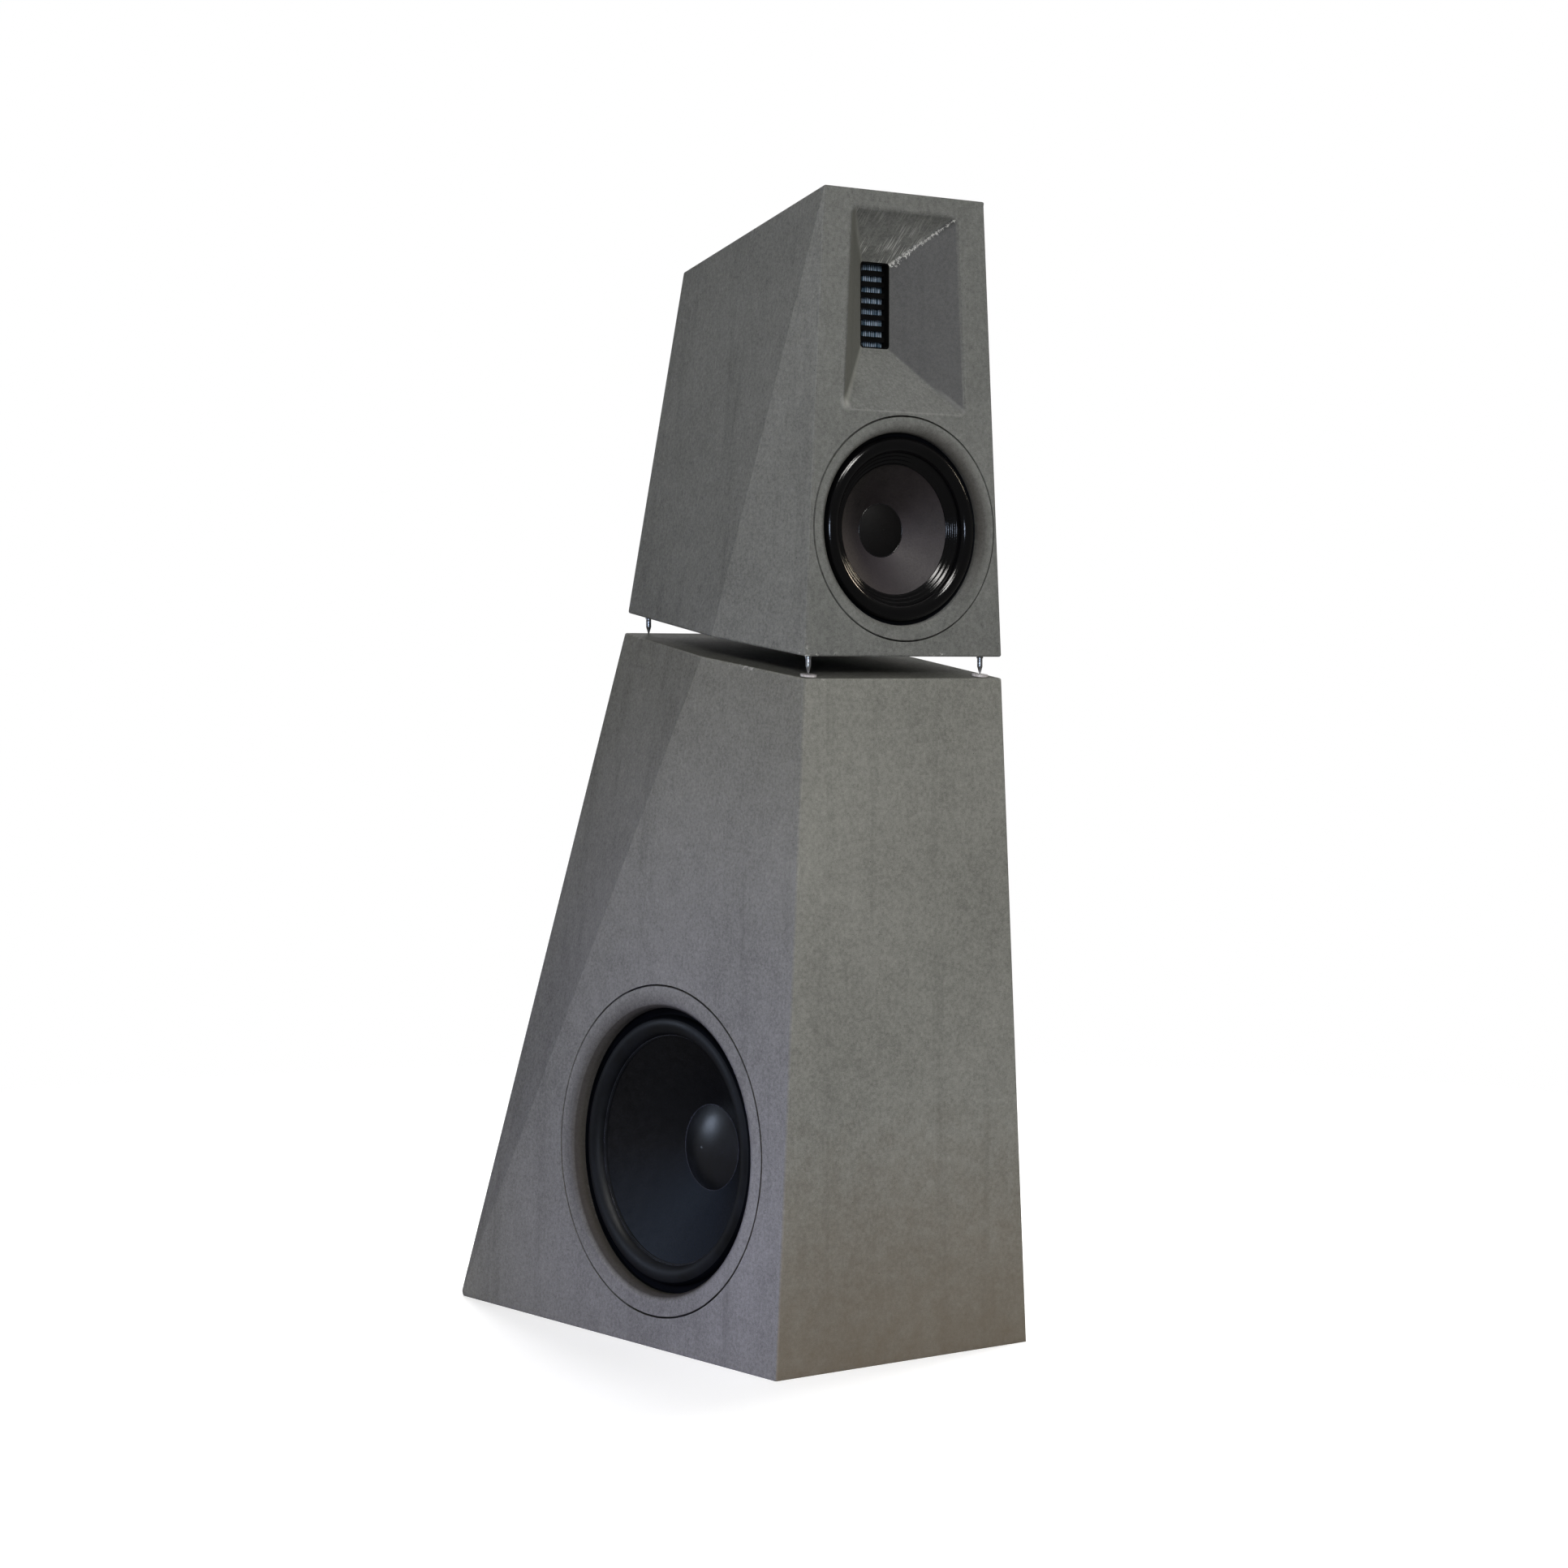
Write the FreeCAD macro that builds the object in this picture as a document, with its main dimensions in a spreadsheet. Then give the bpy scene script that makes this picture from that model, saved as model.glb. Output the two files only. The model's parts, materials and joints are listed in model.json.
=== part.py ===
"""Floor-standing loudspeaker in two cast concrete cabinets: a bass cabinet with a woofer in its side, and
a head with a midrange driver and a horn-loaded folded-ribbon tweeter, standing on spikes.

Millimetres, +Z up, front towards -Y. The origin is on the floor, in the middle of the base.
"""
import FreeCAD, Part
import math
import os
import Sketcher
from types import SimpleNamespace
from FreeCAD import Placement, Rotation, Vector

CABINET_SIZES = {
    # Bass cabinet
    "base_depth": 604,
    "base_front_width": 344,
    "base_rear_width": 446,
    "bass_front_height": 750,
    "bass_top_depth": 397,
    "bass_top_rear_width": 228,
    "bass_fold_depth": 180,
    "cut_angle": 7.6,
    # Head
    "head_gap": 23.5,
    "head_taper_angle": 3,
    "head_top_angle": 9.7,
    "head_top_depth": 332,
    "head_bottom_depth": 393,
    "head_bottom_rear_width": 225,
    "head_fold_depth": 167,
    "head_fold_flare": 10,
    # Castings
    "wall": 36,
    "edge_round": 2.5,
    # Horn in the head's front
    "horn_web": 3.5,
    "horn_floor_rise": 73.5,
    "horn_roof_fall": 49,
    "horn_top_margin": 20,
    "horn_side_margin": 37,
    "horn_depth": 57,
    "throat_width": 39.5,
    "throat_height": 94.5,
    "throat_length": 6,
    "throat_round": 4,
    "horn_corner_round": 8,
    "horn_edge_round": 7,
    # Places of the drivers on the cabinets
    "woofer_front_margin": 37,
    "woofer_floor_margin": 34,
    "mid_floor_margin": 16,
    "mid_side_margin": 3.5,
}

DRIVER_SIZES = {
    # Both drivers have the same pieces: woofer first, midrange second
    "cone_radius": (129.5, 83),
    "cone_depth": (62, 38),
    "cone_wall": (1.6, 1.2),
    "cap_radius": (48.5, 29),
    "cap_height": (15, 6),
    "roll_width": (22.5, 18),
    "roll_wall": (1.6, 1.2),
    "bond_width": (2, 12),
    "land_width": (8, 4),
    "rim_width": (2, 2),
    "rim_height": (5, 1),
    "ring_width": (25, 17),
    "ring_thickness": (16, 12),
    "ring_round": (10, 9),
    "ring_gap": (1.5, 1.2),
    "flange_overlap": (14, 12),
    "flange_thickness": (6, 5),
    "gasket_thickness": (2, 2),
    "basket_wall": (4, 3),
    "landing_width": (8, 6),
    "window_angle": (42, 42),
    "coil_radius": (38, 19),
    "coil_wall": (1.2, 0.8),
    "coil_length": (52, 34),
    "spider_drop": (10, 7),
    "spider_width": (46, 30),
    "spider_wave": (2.4, 1.8),
    "plate_drop": (34, 22),
    "plate_radius": (85, 52),
    "plate_thickness": (10, 7),
    "magnet_radius": (90, 57),
    "magnet_thickness": (26, 18),
    "vent_radius": (12, 6),
    "screw_radius": (2.5, 2),
    "screw_length": (12, 12),
}

SMALL_SIZES = {
    # Fits shared by all pieces
    "bond_gap": 0.3,
    "slip_gap": 1,
    "screw_gap": 0.2,
    "overcut": 5,
    # Tweeter behind the horn's throat
    "spigot_wall": 1.2,
    "slot_width": 36,
    "slot_height": 6.5,
    "slot_bar": 5.6,
    "tweeter_side_margin": 25,
    "tweeter_end_margin": 14,
    "tweeter_screw_inset": 6.5,
    "tweeter_plate_thickness": 5,
    "tweeter_gasket_thickness": 1.5,
    "pleat_depth": 6,
    "pleat_wall": 0.4,
    "tweeter_magnet_width": 14,
    "tweeter_magnet_depth": 12,
    "housing_depth": 34,
    "housing_wall": 3,
    "tweeter_screw_radius": 2,
    "tweeter_screw_length": 18,
    # Terminals in the back of both cabinets
    "bass_terminal_height": 150,
    "head_terminal_rise": 70,
    "terminal_width": 92,
    "terminal_height": 60,
    "terminal_thickness": 4,
    "terminal_border": 13,
    "post_spacing": 38,
    "post_radius": 4,
    "post_neck_radius": 3,
    "post_collar_radius": 6.4,
    "post_length": 24,
    "post_tail": 14,
    "post_bore_radius": 2.05,
    "post_bore_depth": 14,
    "cap_knob_radius": 8.5,
    "cap_knob_length": 16,
    "terminal_screw_radius": 1.5,
    "terminal_screw_length": 14,
    # Crossover on the floor of the bass cabinet
    "board_setback": 330,
    "board_thickness": 10,
    "board_edge": 8,
    "part_spacing": 8,
    "choke_radius": 32,
    "choke_bore": 12,
    "choke_height": 28,
    "capacitor_radius": 14,
    "capacitor_length": 50,
    "resistor_length": 44,
    "resistor_side": 10,
    "board_screw_radius": 2,
    "board_screw_length": 22,
    # Spikes between the cabinets
    "spike_radius": 3,
    "spike_collar_radius": 3.7,
    "spike_collar_height": 4,
    "spike_tip_length": 8,
    "spike_tip_radius": 0.7,
    "spike_thread": 18,
    "insert_radius": 5.5,
    "insert_length": 24,
    "insert_sink": 2,
    "disc_radius": 9,
    "disc_thickness": 2.2,
    "front_spike_inset": 17,
    "front_spike_setback": 18,
    "rear_spike_inset": 26,
    "rear_spike_setback": 11,
}

WINDOW_COUNT = 6
SCREW_COUNT = 8
SLOT_COUNT = 8
PLEAT_COUNT = 14
SPIDER_WAVES = 3
SCREW_HEAD_SPREAD = 1.75
SCREW_HEAD_RISE = 1.2
DRIVERS = ("woofer", "mid")


class Size:
    """A length with the sheet expression that gives it."""

    def __init__(self, value, text):
        self.value = float(value)
        self.text = text

    def __add__(self, other):
        other = size_of(other)
        return Size(self.value + other.value, f"({self.text} + {other.text})")

    def __sub__(self, other):
        other = size_of(other)
        return Size(self.value - other.value, f"({self.text} - {other.text})")

    def __mul__(self, factor):
        factor = size_of(factor)
        return Size(self.value * factor.value, f"({self.text} * {factor.text})")

    def __truediv__(self, divisor):
        divisor = size_of(divisor)
        return Size(self.value / divisor.value, f"({self.text} / {divisor.text})")

    __radd__ = __add__
    __rmul__ = __mul__


def size_of(number):
    return number if isinstance(number, Size) else Size(number, repr(float(number)))


class Arc:
    """A round edge from one corner of an outline to the next, with one coordinate of its centre."""

    def __init__(self, centre_across=None, centre_along=None, turns_left=True):
        self.centre_across = centre_across
        self.centre_along = centre_along
        self.turns_left = turns_left

    def centre(self, start, end):
        middle = (start + end) / 2
        chord = end - start
        if self.centre_across is not None:
            across = size_of(self.centre_across).value
            return Vector(across, middle.y - (across - middle.x) * chord.x / chord.y, 0)
        along = size_of(self.centre_along).value
        return Vector(middle.x - (along - middle.y) * chord.y / chord.x, along, 0)


doc = FreeCAD.newDocument("Loudspeaker")
sheet = doc.addObject("Spreadsheet::Sheet", "Sizes")
nodes = []


def fill_sheet():
    """Every driving dimension in a named cell, and the same names as values to reckon with."""
    table = dict(CABINET_SIZES)
    for name, pair in DRIVER_SIZES.items():
        table.update({f"{driver}_{name}": value for driver, value in zip(DRIVERS, pair)})
    table.update(SMALL_SIZES)
    for row, (name, value) in enumerate(table.items(), start=1):
        sheet.set(f"A{row}", name)
        sheet.set(f"B{row}", str(value))
        sheet.setAlias(f"B{row}", name)
    doc.recompute()
    return SimpleNamespace(**{name: Size(value, f"Sizes.{name}") for name, value in table.items()})


S = fill_sheet()


def driver_sizes(driver):
    """The sizes of one driver under their short names, with the radii and depths that follow from them.

    Depths run inwards from the face of the cabinet, and radii from the driver's axis.
    """
    d = SimpleNamespace(**{name: getattr(S, f"{driver}_{name}") for name in DRIVER_SIZES})
    d.roll_radius = d.cone_radius + d.roll_width
    d.opening_radius = d.roll_radius + d.land_width
    d.ring_radius = d.opening_radius + d.ring_width
    d.recess_radius = d.ring_radius + d.ring_gap
    d.flange_radius = d.opening_radius + d.flange_overlap
    d.basket_radius = d.roll_radius - S.slip_gap
    d.hole_radius = d.basket_radius + S.slip_gap * 2
    d.screw_circle = d.opening_radius + d.flange_overlap / 2
    d.lip_front = d.ring_thickness + d.rim_height
    d.lip_back = d.lip_front + d.roll_wall
    d.front = d.lip_back + S.bond_gap
    d.flange_back = d.front + d.flange_thickness
    d.seat = d.flange_back + d.gasket_thickness
    d.neck = d.front + d.cone_depth
    d.neck_radius = d.coil_radius + S.bond_gap
    d.cone_fall = d.cone_depth / (d.cone_radius - d.neck_radius)
    d.spider_radius = d.coil_radius + d.spider_width
    d.spider_depth = d.neck + d.spider_drop
    d.plate_front = d.neck + d.plate_drop
    d.plate_back = d.plate_front + d.plate_thickness
    d.magnet_back = d.plate_back + d.magnet_thickness
    return d


woofer = driver_sizes("woofer")
mid = driver_sizes("mid")


def bind(item, **sizes):
    for name, size in sizes.items():
        item.setExpression(name, size_of(size).text)
    return item


def node(item, label):
    """Mark an object as a finished piece; its label names its file."""
    item.Label = label
    nodes.append(item)
    return item


def feature(name, shape, place=None):
    item = doc.addObject("Part::Feature", name)
    item.Shape = shape
    if place is not None:
        item.Placement = place
    return item


def frame_at(origin, inward, up=Vector(0, 0, 1)):
    """A frame on a face of the cabinet: local Z runs inwards, local Y up along the face."""
    return Placement(origin, Rotation(Vector(), up, inward, "ZYX"))


def shift(frame, across=0.0, up=0.0, inward=0.0):
    return frame.multiply(Placement(Vector(across, up, inward), Rotation()))


def origin_plane(body, role):
    return next(plane for plane in body.Origin.OriginFeatures if plane.Role == role)


def pin(sketch, axis, geometry, position, size):
    """Hold one coordinate of a sketch point at a size, or on the axis where the size is nothing."""
    size = size_of(size)
    kind, other_axis = ("DistanceX", -2) if axis == "across" else ("DistanceY", -1)
    if size.value == 0:
        sketch.addConstraint(Sketcher.Constraint("PointOnObject", geometry, position, other_axis))
        return
    index = sketch.addConstraint(Sketcher.Constraint(kind, -1, 1, geometry, position, size.value))
    sketch.setExpression(f"Constraints[{index}]", size.text)


def outline_sketch(body, name, outline, role="XZ_Plane"):
    """A closed sketch through corners (across, along), each with an Arc if its next edge is round."""
    sketch = body.newObject("Sketcher::SketchObject", name)
    sketch.AttachmentSupport = (origin_plane(body, role), [""])
    sketch.MapMode = "FlatFace"
    points = [Vector(size_of(corner[0]).value, size_of(corner[1]).value, 0) for corner in outline]
    ends = []
    for index, corner in enumerate(outline):
        start = points[index]
        end = points[(index + 1) % len(points)]
        if len(corner) == 2:
            sketch.addGeometry(Part.LineSegment(start, end))
            ends.append((1, 2))
            continue
        arc = corner[2]
        centre = arc.centre(start, end)
        first, last = (start, end) if arc.turns_left else (end, start)
        from_angle = math.atan2(first.y - centre.y, first.x - centre.x)
        to_angle = math.atan2(last.y - centre.y, last.x - centre.x)
        circle = Part.Circle(centre, Vector(0, 0, 1), (start - centre).Length)
        sketch.addGeometry(Part.ArcOfCircle(circle, from_angle, to_angle))
        ends.append((1, 2) if arc.turns_left else (2, 1))
    for index, corner in enumerate(outline):
        following = (index + 1) % len(outline)
        sketch.addConstraint(
            Sketcher.Constraint("Coincident", index, ends[index][1], following, ends[following][0]))
        pin(sketch, "across", index, ends[index][0], corner[0])
        pin(sketch, "along", index, ends[index][0], corner[1])
        if len(corner) == 3 and corner[2].centre_across is not None:
            pin(sketch, "across", index, 3, corner[2].centre_across)
        elif len(corner) == 3:
            pin(sketch, "along", index, 3, corner[2].centre_along)
    return sketch


def turned(name, outline, place):
    """A piece turned about its local Z axis from an outline of (radius, depth) corners."""
    body = doc.addObject("PartDesign::Body", name)
    sketch = outline_sketch(body, f"{name}_outline", outline)
    turn = body.newObject("PartDesign::Revolution", f"{name}_turn")
    turn.Profile = sketch
    turn.ReferenceAxis = (sketch, ["V_Axis"])
    turn.Angle = 360
    body.Placement = place
    return body


def washer(name, inner, outer, front, back, place):
    return turned(name, [(inner, front), (outer, front), (outer, back), (inner, back)], place)


def box(name, place, width, height, depth):
    """A block centred across its frame, from the frame's face inwards."""
    width, height = size_of(width), size_of(height)
    item = bind(doc.addObject("Part::Box", name), Length=width, Width=height, Height=depth)
    item.Placement = shift(place, -width.value / 2, -height.value / 2)
    return item


def rounded_box(name, place, width, height, depth, corner):
    """A block like box, with its four edges along the depth rounded."""
    width, height = size_of(width), size_of(height)
    outline = [
        (corner, 0),
        (width - corner, 0, Arc(centre_across=width - corner)),
        (width, corner),
        (width, height - corner, Arc(centre_across=width - corner)),
        (width - corner, height),
        (corner, height, Arc(centre_across=corner)),
        (0, height - corner),
        (0, corner, Arc(centre_across=corner)),
    ]
    body = doc.addObject("PartDesign::Body", name)
    sketch = outline_sketch(body, f"{name}_outline", outline, "XY_Plane")
    pad = bind(body.newObject("PartDesign::Pad", f"{name}_pad"), Length=depth)
    pad.Profile = sketch
    body.Placement = shift(place, -width.value / 2, -height.value / 2)
    return body


def cylinder(name, place, radius, height):
    item = bind(doc.addObject("Part::Cylinder", name), Radius=radius, Height=height)
    item.Placement = place
    return item


def fuse(name, items):
    item = doc.addObject("Part::MultiFuse", name)
    item.Shapes = items
    return item


def cut(name, base, tools):
    item = doc.addObject("Part::Cut", name)
    item.Base = base
    item.Tool = tools[0] if len(tools) == 1 else fuse(f"{name}_tools", tools)
    return item


def copies(name, shape, places):
    """Separate copies of one shape, kept together."""
    placed = []
    for place in places:
        copy = shape.copy()
        copy.Placement = place
        placed.append(copy)
    return feature(name, Part.makeCompound(placed))


def head_rise(screw_radius):
    """Height of a screw's head."""
    return screw_radius.value * SCREW_HEAD_RISE


def screw_shape(radius, length, gap=0.0, reach=0.0):
    """A cap-head screw along local Z with its head's top at nothing; the gap widens it into its hole."""
    head_radius = radius.value * SCREW_HEAD_SPREAD + gap
    head_height = head_rise(radius)
    head = Part.makeCylinder(head_radius, head_height + reach, Vector(0, 0, -reach))
    shank = Part.makeCylinder(radius.value + gap, length.value + gap)
    return head.fuse(shank).removeSplitter()


def around(frame, radius, count, inward=0.0):
    """Places evenly round a frame's axis, half a step from its local X axis."""
    places = []
    for step in range(count):
        angle = 2 * math.pi * (step + 0.5) / count
        places.append(shift(frame, radius.value * math.cos(angle), radius.value * math.sin(angle), inward))
    return places


def faceted(facets, inset=0.0):
    """The convex block inside all facets, each a run of its corners; the inset moves every facet inwards."""
    corners = [corner for facet in facets for corner in facet]
    middle = sum(corners, Vector()) / len(corners)
    reach = 2 * max((corner - middle).Length for corner in corners)
    block = Part.makeBox(2 * reach, 2 * reach, 2 * reach, middle - Vector(reach, reach, reach))
    for facet in facets:
        normal = (facet[1] - facet[0]).cross(facet[2] - facet[0]).normalize()
        if normal.dot(facet[0] - middle) < 0:
            normal = -normal
        outside = Part.makeBox(4 * reach, 4 * reach, 4 * reach, Vector(-2 * reach, -2 * reach, 0))
        outside.Placement = Placement(facet[0] - normal * inset, Rotation(Vector(0, 0, 1), normal))
        block = block.cut(outside)
    return block


def mirrored(point):
    return Vector(-point.x, point.y, point.z)


def on_plane(three, along, height):
    """The point of a plane through three points at a given depth and height."""
    normal = (three[1] - three[0]).cross(three[2] - three[0])
    across = -(normal.y * (along - three[0].y) + normal.z * (height - three[0].z)) / normal.x
    return Vector(three[0].x + across, along, height)


# The corners of both castings on their left side, from the sizes
FRONT = -S.base_depth.value / 2
CUT_RISE = math.tan(math.radians(S.cut_angle.value))
TOP_FALL = math.tan(math.radians(S.head_top_angle.value))
TAPER = math.tan(math.radians(S.head_taper_angle.value))

mid_rise = mid.recess_radius + S.mid_floor_margin
horn_bottom = mid_rise + mid.recess_radius + S.horn_web
throat_bottom = horn_bottom + S.horn_floor_rise
throat_middle = throat_bottom + S.throat_height / 2
horn_top = throat_bottom + S.throat_height + S.horn_roof_fall
head_height = horn_top + S.horn_top_margin
waist_half = (mid.recess_radius + S.mid_side_margin).value + TAPER * mid_rise.value
HEAD_FLOOR = (S.bass_front_height + S.head_gap).value
HEAD_TOP = HEAD_FLOOR + head_height.value


def cabinet_point(half_width, depth, height):
    return Vector(-half_width, FRONT + depth, height)


def cut_height(depth):
    """Height of the bass cabinet's sloping top over a given depth."""
    return S.bass_front_height.value + CUT_RISE * depth


def bass_corners():
    c = SimpleNamespace()
    c.front_foot = cabinet_point(S.base_front_width.value / 2, 0, 0)
    c.front_top = cabinet_point(waist_half, 0, S.bass_front_height.value)
    c.rear_foot = cabinet_point(S.base_rear_width.value / 2, S.base_depth.value, 0)
    top_depth = S.bass_top_depth.value
    c.rear_top = cabinet_point(S.bass_top_rear_width.value / 2, top_depth, cut_height(top_depth))
    fold_depth = S.bass_fold_depth.value
    side = (c.front_foot, c.front_top, c.rear_foot)
    c.fold = on_plane(side, FRONT + fold_depth, cut_height(fold_depth))
    return c


def head_corners():
    c = SimpleNamespace()
    c.front_foot = cabinet_point(waist_half, 0, HEAD_FLOOR)
    c.front_top = cabinet_point(waist_half - TAPER * head_height.value, 0, HEAD_TOP)
    foot_depth = S.head_bottom_depth.value
    foot_height = HEAD_FLOOR + CUT_RISE * foot_depth
    c.rear_foot = cabinet_point(S.head_bottom_rear_width.value / 2, foot_depth, foot_height)
    fold_depth = S.head_fold_depth.value
    fold_height = HEAD_FLOOR + CUT_RISE * fold_depth
    c.fold = cabinet_point(waist_half + S.head_fold_flare.value, fold_depth, fold_height)
    top_depth = S.head_top_depth.value
    side = (c.front_top, c.fold, c.rear_foot)
    c.rear_top = on_plane(side, FRONT + top_depth, HEAD_TOP - TOP_FALL * top_depth)
    return c


bass = bass_corners()
head = head_corners()


def across(*points):
    """A facet that runs from side to side, through left corners and their mirror images."""
    return list(points) + [mirrored(point) for point in reversed(points)]


def both_sides(*points):
    return [list(points), [mirrored(point) for point in points]]


BASS_FACETS = [
    across(bass.front_foot, bass.front_top),
    across(bass.rear_foot, bass.rear_top),
    across(bass.front_foot, bass.rear_foot),
    across(bass.front_top, bass.fold, bass.rear_top),
    *both_sides(bass.front_foot, bass.front_top, bass.fold, bass.rear_foot),
    *both_sides(bass.fold, bass.rear_top, bass.rear_foot),
]
HEAD_FACETS = [
    across(head.front_foot, head.front_top),
    across(head.rear_foot, head.rear_top),
    across(head.front_foot, head.fold, head.rear_foot),
    across(head.front_top, head.rear_top),
    *both_sides(head.front_foot, head.front_top, head.fold),
    *both_sides(head.front_top, head.rear_top, head.rear_foot, head.fold),
]


def woofer_frame():
    """On the left front facet of the bass cabinet, away from its front edge and from the floor."""
    along = (bass.rear_foot - bass.front_foot).normalize()
    inward = along.cross(bass.front_top - bass.front_foot).normalize()
    up = inward.cross(along)
    front = (woofer.recess_radius + S.woofer_front_margin).value
    rise = (woofer.recess_radius + S.woofer_floor_margin).value
    return frame_at(bass.front_foot + along * front + up * rise, inward, up)


def back_frame(foot, top, height):
    """On the sloping back of a cabinet, at a given height."""
    share = (height - foot.z) / (top.z - foot.z)
    up = Vector(0, top.y - foot.y, top.z - foot.z).normalize()
    inward = Vector(1, 0, 0).cross(up)
    return frame_at(Vector(0, foot.y + share * (top.y - foot.y), height), inward, up)


INTO_FRONT = Vector(0, 1, 0)
WOOFER_FRAME = woofer_frame()
MID_FRAME = frame_at(Vector(0, FRONT, HEAD_FLOOR + mid_rise.value), INTO_FRONT)
HORN_FRAME = frame_at(Vector(0, FRONT, HEAD_FLOOR + throat_middle.value), INTO_FRONT)
TWEETER_FRAME = shift(HORN_FRAME, inward=(S.horn_depth + S.throat_length).value)
BASS_TERMINAL_FRAME = back_frame(bass.rear_foot, bass.rear_top, S.bass_terminal_height.value)
HEAD_TERMINAL_FRAME = back_frame(head.rear_foot, head.rear_top, head.rear_foot.z + S.head_terminal_rise.value)


def driver_bores(name, d, frame):
    """The stepped bore that takes a driver: recess of the ring, seat of the flange, hole through the wall."""
    outside = shift(frame, inward=-S.overcut.value)
    steps = [
        cylinder(f"{name}_ring_recess", outside, d.recess_radius, S.overcut + d.ring_thickness),
        cylinder(f"{name}_flange_seat", outside, d.flange_radius + S.slip_gap, S.overcut + d.seat),
        cylinder(f"{name}_hole", outside, d.hole_radius, S.wall + S.overcut * 2),
    ]
    return steps + [driver_screw_holes(name, d, frame)]


def driver_screw_holes(name, d, frame):
    holes = screw_shape(d.screw_radius, d.screw_length, S.screw_gap.value, S.bond_gap.value * 2)
    return copies(f"{name}_screw_holes", holes, around(frame, d.screw_circle, SCREW_COUNT, d.front.value))


def make_driver(name, d, frame):
    """One cone driver: ring, surround, cone, cap and coil in front; basket, spider and magnet behind."""
    ring = [
        (d.opening_radius, d.ring_round, Arc(centre_across=d.opening_radius + d.ring_round)),
        (d.opening_radius + d.ring_round, 0),
        (d.ring_radius, 0),
        (d.ring_radius, d.ring_thickness),
        (d.opening_radius, d.ring_thickness),
    ]
    node(turned(f"{name}_ring", ring, frame), f"{name}_trim_ring")

    rim_radius = d.opening_radius + d.rim_width
    bond_radius = d.cone_radius - d.bond_width
    bond_fall = d.bond_width * d.cone_fall
    surround = [
        (rim_radius, d.ring_thickness),
        (rim_radius, d.lip_back),
        (d.roll_radius - d.roll_wall, d.lip_back),
        (d.roll_radius - d.roll_wall, d.lip_front, Arc(centre_along=d.lip_front, turns_left=False)),
        (d.cone_radius + d.roll_wall, d.lip_front),
        (d.cone_radius + d.roll_wall, d.lip_back),
        (d.cone_radius, d.lip_back),
        (bond_radius, d.lip_back + bond_fall),
        (bond_radius, d.lip_front + bond_fall),
        (d.cone_radius, d.lip_front, Arc(centre_along=d.lip_front)),
        (d.roll_radius, d.lip_front),
        (d.opening_radius, d.lip_front),
        (d.opening_radius, d.ring_thickness),
    ]
    node(turned(f"{name}_roll", surround, frame), f"{name}_surround")

    cone = [
        (d.cone_radius, d.front),
        (d.cone_radius, d.front + d.cone_wall),
        (d.neck_radius, d.neck + d.cone_wall),
        (d.neck_radius, d.neck),
    ]
    node(turned(f"{name}_paper", cone, frame), f"{name}_cone")

    cap_edge = d.front + (d.cone_radius - d.cap_radius) * d.cone_fall - S.bond_gap
    cap = [
        (d.cap_radius, cap_edge),
        (0, cap_edge - d.cap_height),
        (0, cap_edge - d.cap_height + d.cone_wall),
        (d.cap_radius - d.cone_wall * 2, cap_edge),
    ]
    cap[0] += (Arc(centre_across=0, turns_left=False),)
    cap[2] += (Arc(centre_across=0),)
    node(turned(f"{name}_dome", cap, frame), f"{name}_dust_cap")

    coil_inside = d.coil_radius - d.coil_wall
    coil_start = d.neck - d.cone_wall
    coil_end = coil_start + d.coil_length
    coil = washer(f"{name}_coil", coil_inside, d.coil_radius, coil_start, coil_end, frame)
    node(coil, f"{name}_voice_coil")

    make_spider(name, d, frame)
    make_basket(name, d, frame)

    motor_gap = d.coil_radius + S.slip_gap
    top_plate = washer(f"{name}_front_plate", motor_gap, d.plate_radius, d.plate_front, d.plate_back, frame)
    node(top_plate, f"{name}_top_plate")
    magnet_bore = motor_gap + d.plate_thickness
    magnet = washer(f"{name}_ferrite", magnet_bore, d.magnet_radius, d.plate_back, d.magnet_back, frame)
    node(magnet, f"{name}_magnet")
    pole_radius = coil_inside - S.slip_gap
    yoke = [
        (d.vent_radius, d.plate_front),
        (pole_radius, d.plate_front),
        (pole_radius, d.magnet_back),
        (d.plate_radius, d.magnet_back),
        (d.plate_radius, d.magnet_back + d.plate_thickness),
        (d.vent_radius, d.magnet_back + d.plate_thickness),
    ]
    node(turned(f"{name}_yoke", yoke, frame), f"{name}_back_plate")

    screws = screw_shape(d.screw_radius, d.screw_length)
    places = around(frame, d.screw_circle, SCREW_COUNT, d.front.value)
    node(copies(f"{name}_fixings", screws, places), f"{name}_screws")


def make_spider(name, d, frame):
    """The corrugated disc that centres the coil, with round waves drawn as straight flanks."""
    inner = d.coil_radius + S.bond_gap
    wall = d.coil_wall
    step = (d.spider_width - d.landing_width - S.bond_gap) / (2 * SPIDER_WAVES)
    near, far = [], []
    for index in range(2 * SPIDER_WAVES + 1):
        radius = inner + step * index
        depth = d.spider_depth - d.spider_wave * (index % 2)
        near.append((radius, depth - wall))
        far.append((radius, depth))
    near.append((d.spider_radius, d.spider_depth - wall))
    far.append((d.spider_radius, d.spider_depth))
    node(turned(f"{name}_damper", near + far[::-1], frame), f"{name}_spider")


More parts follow.
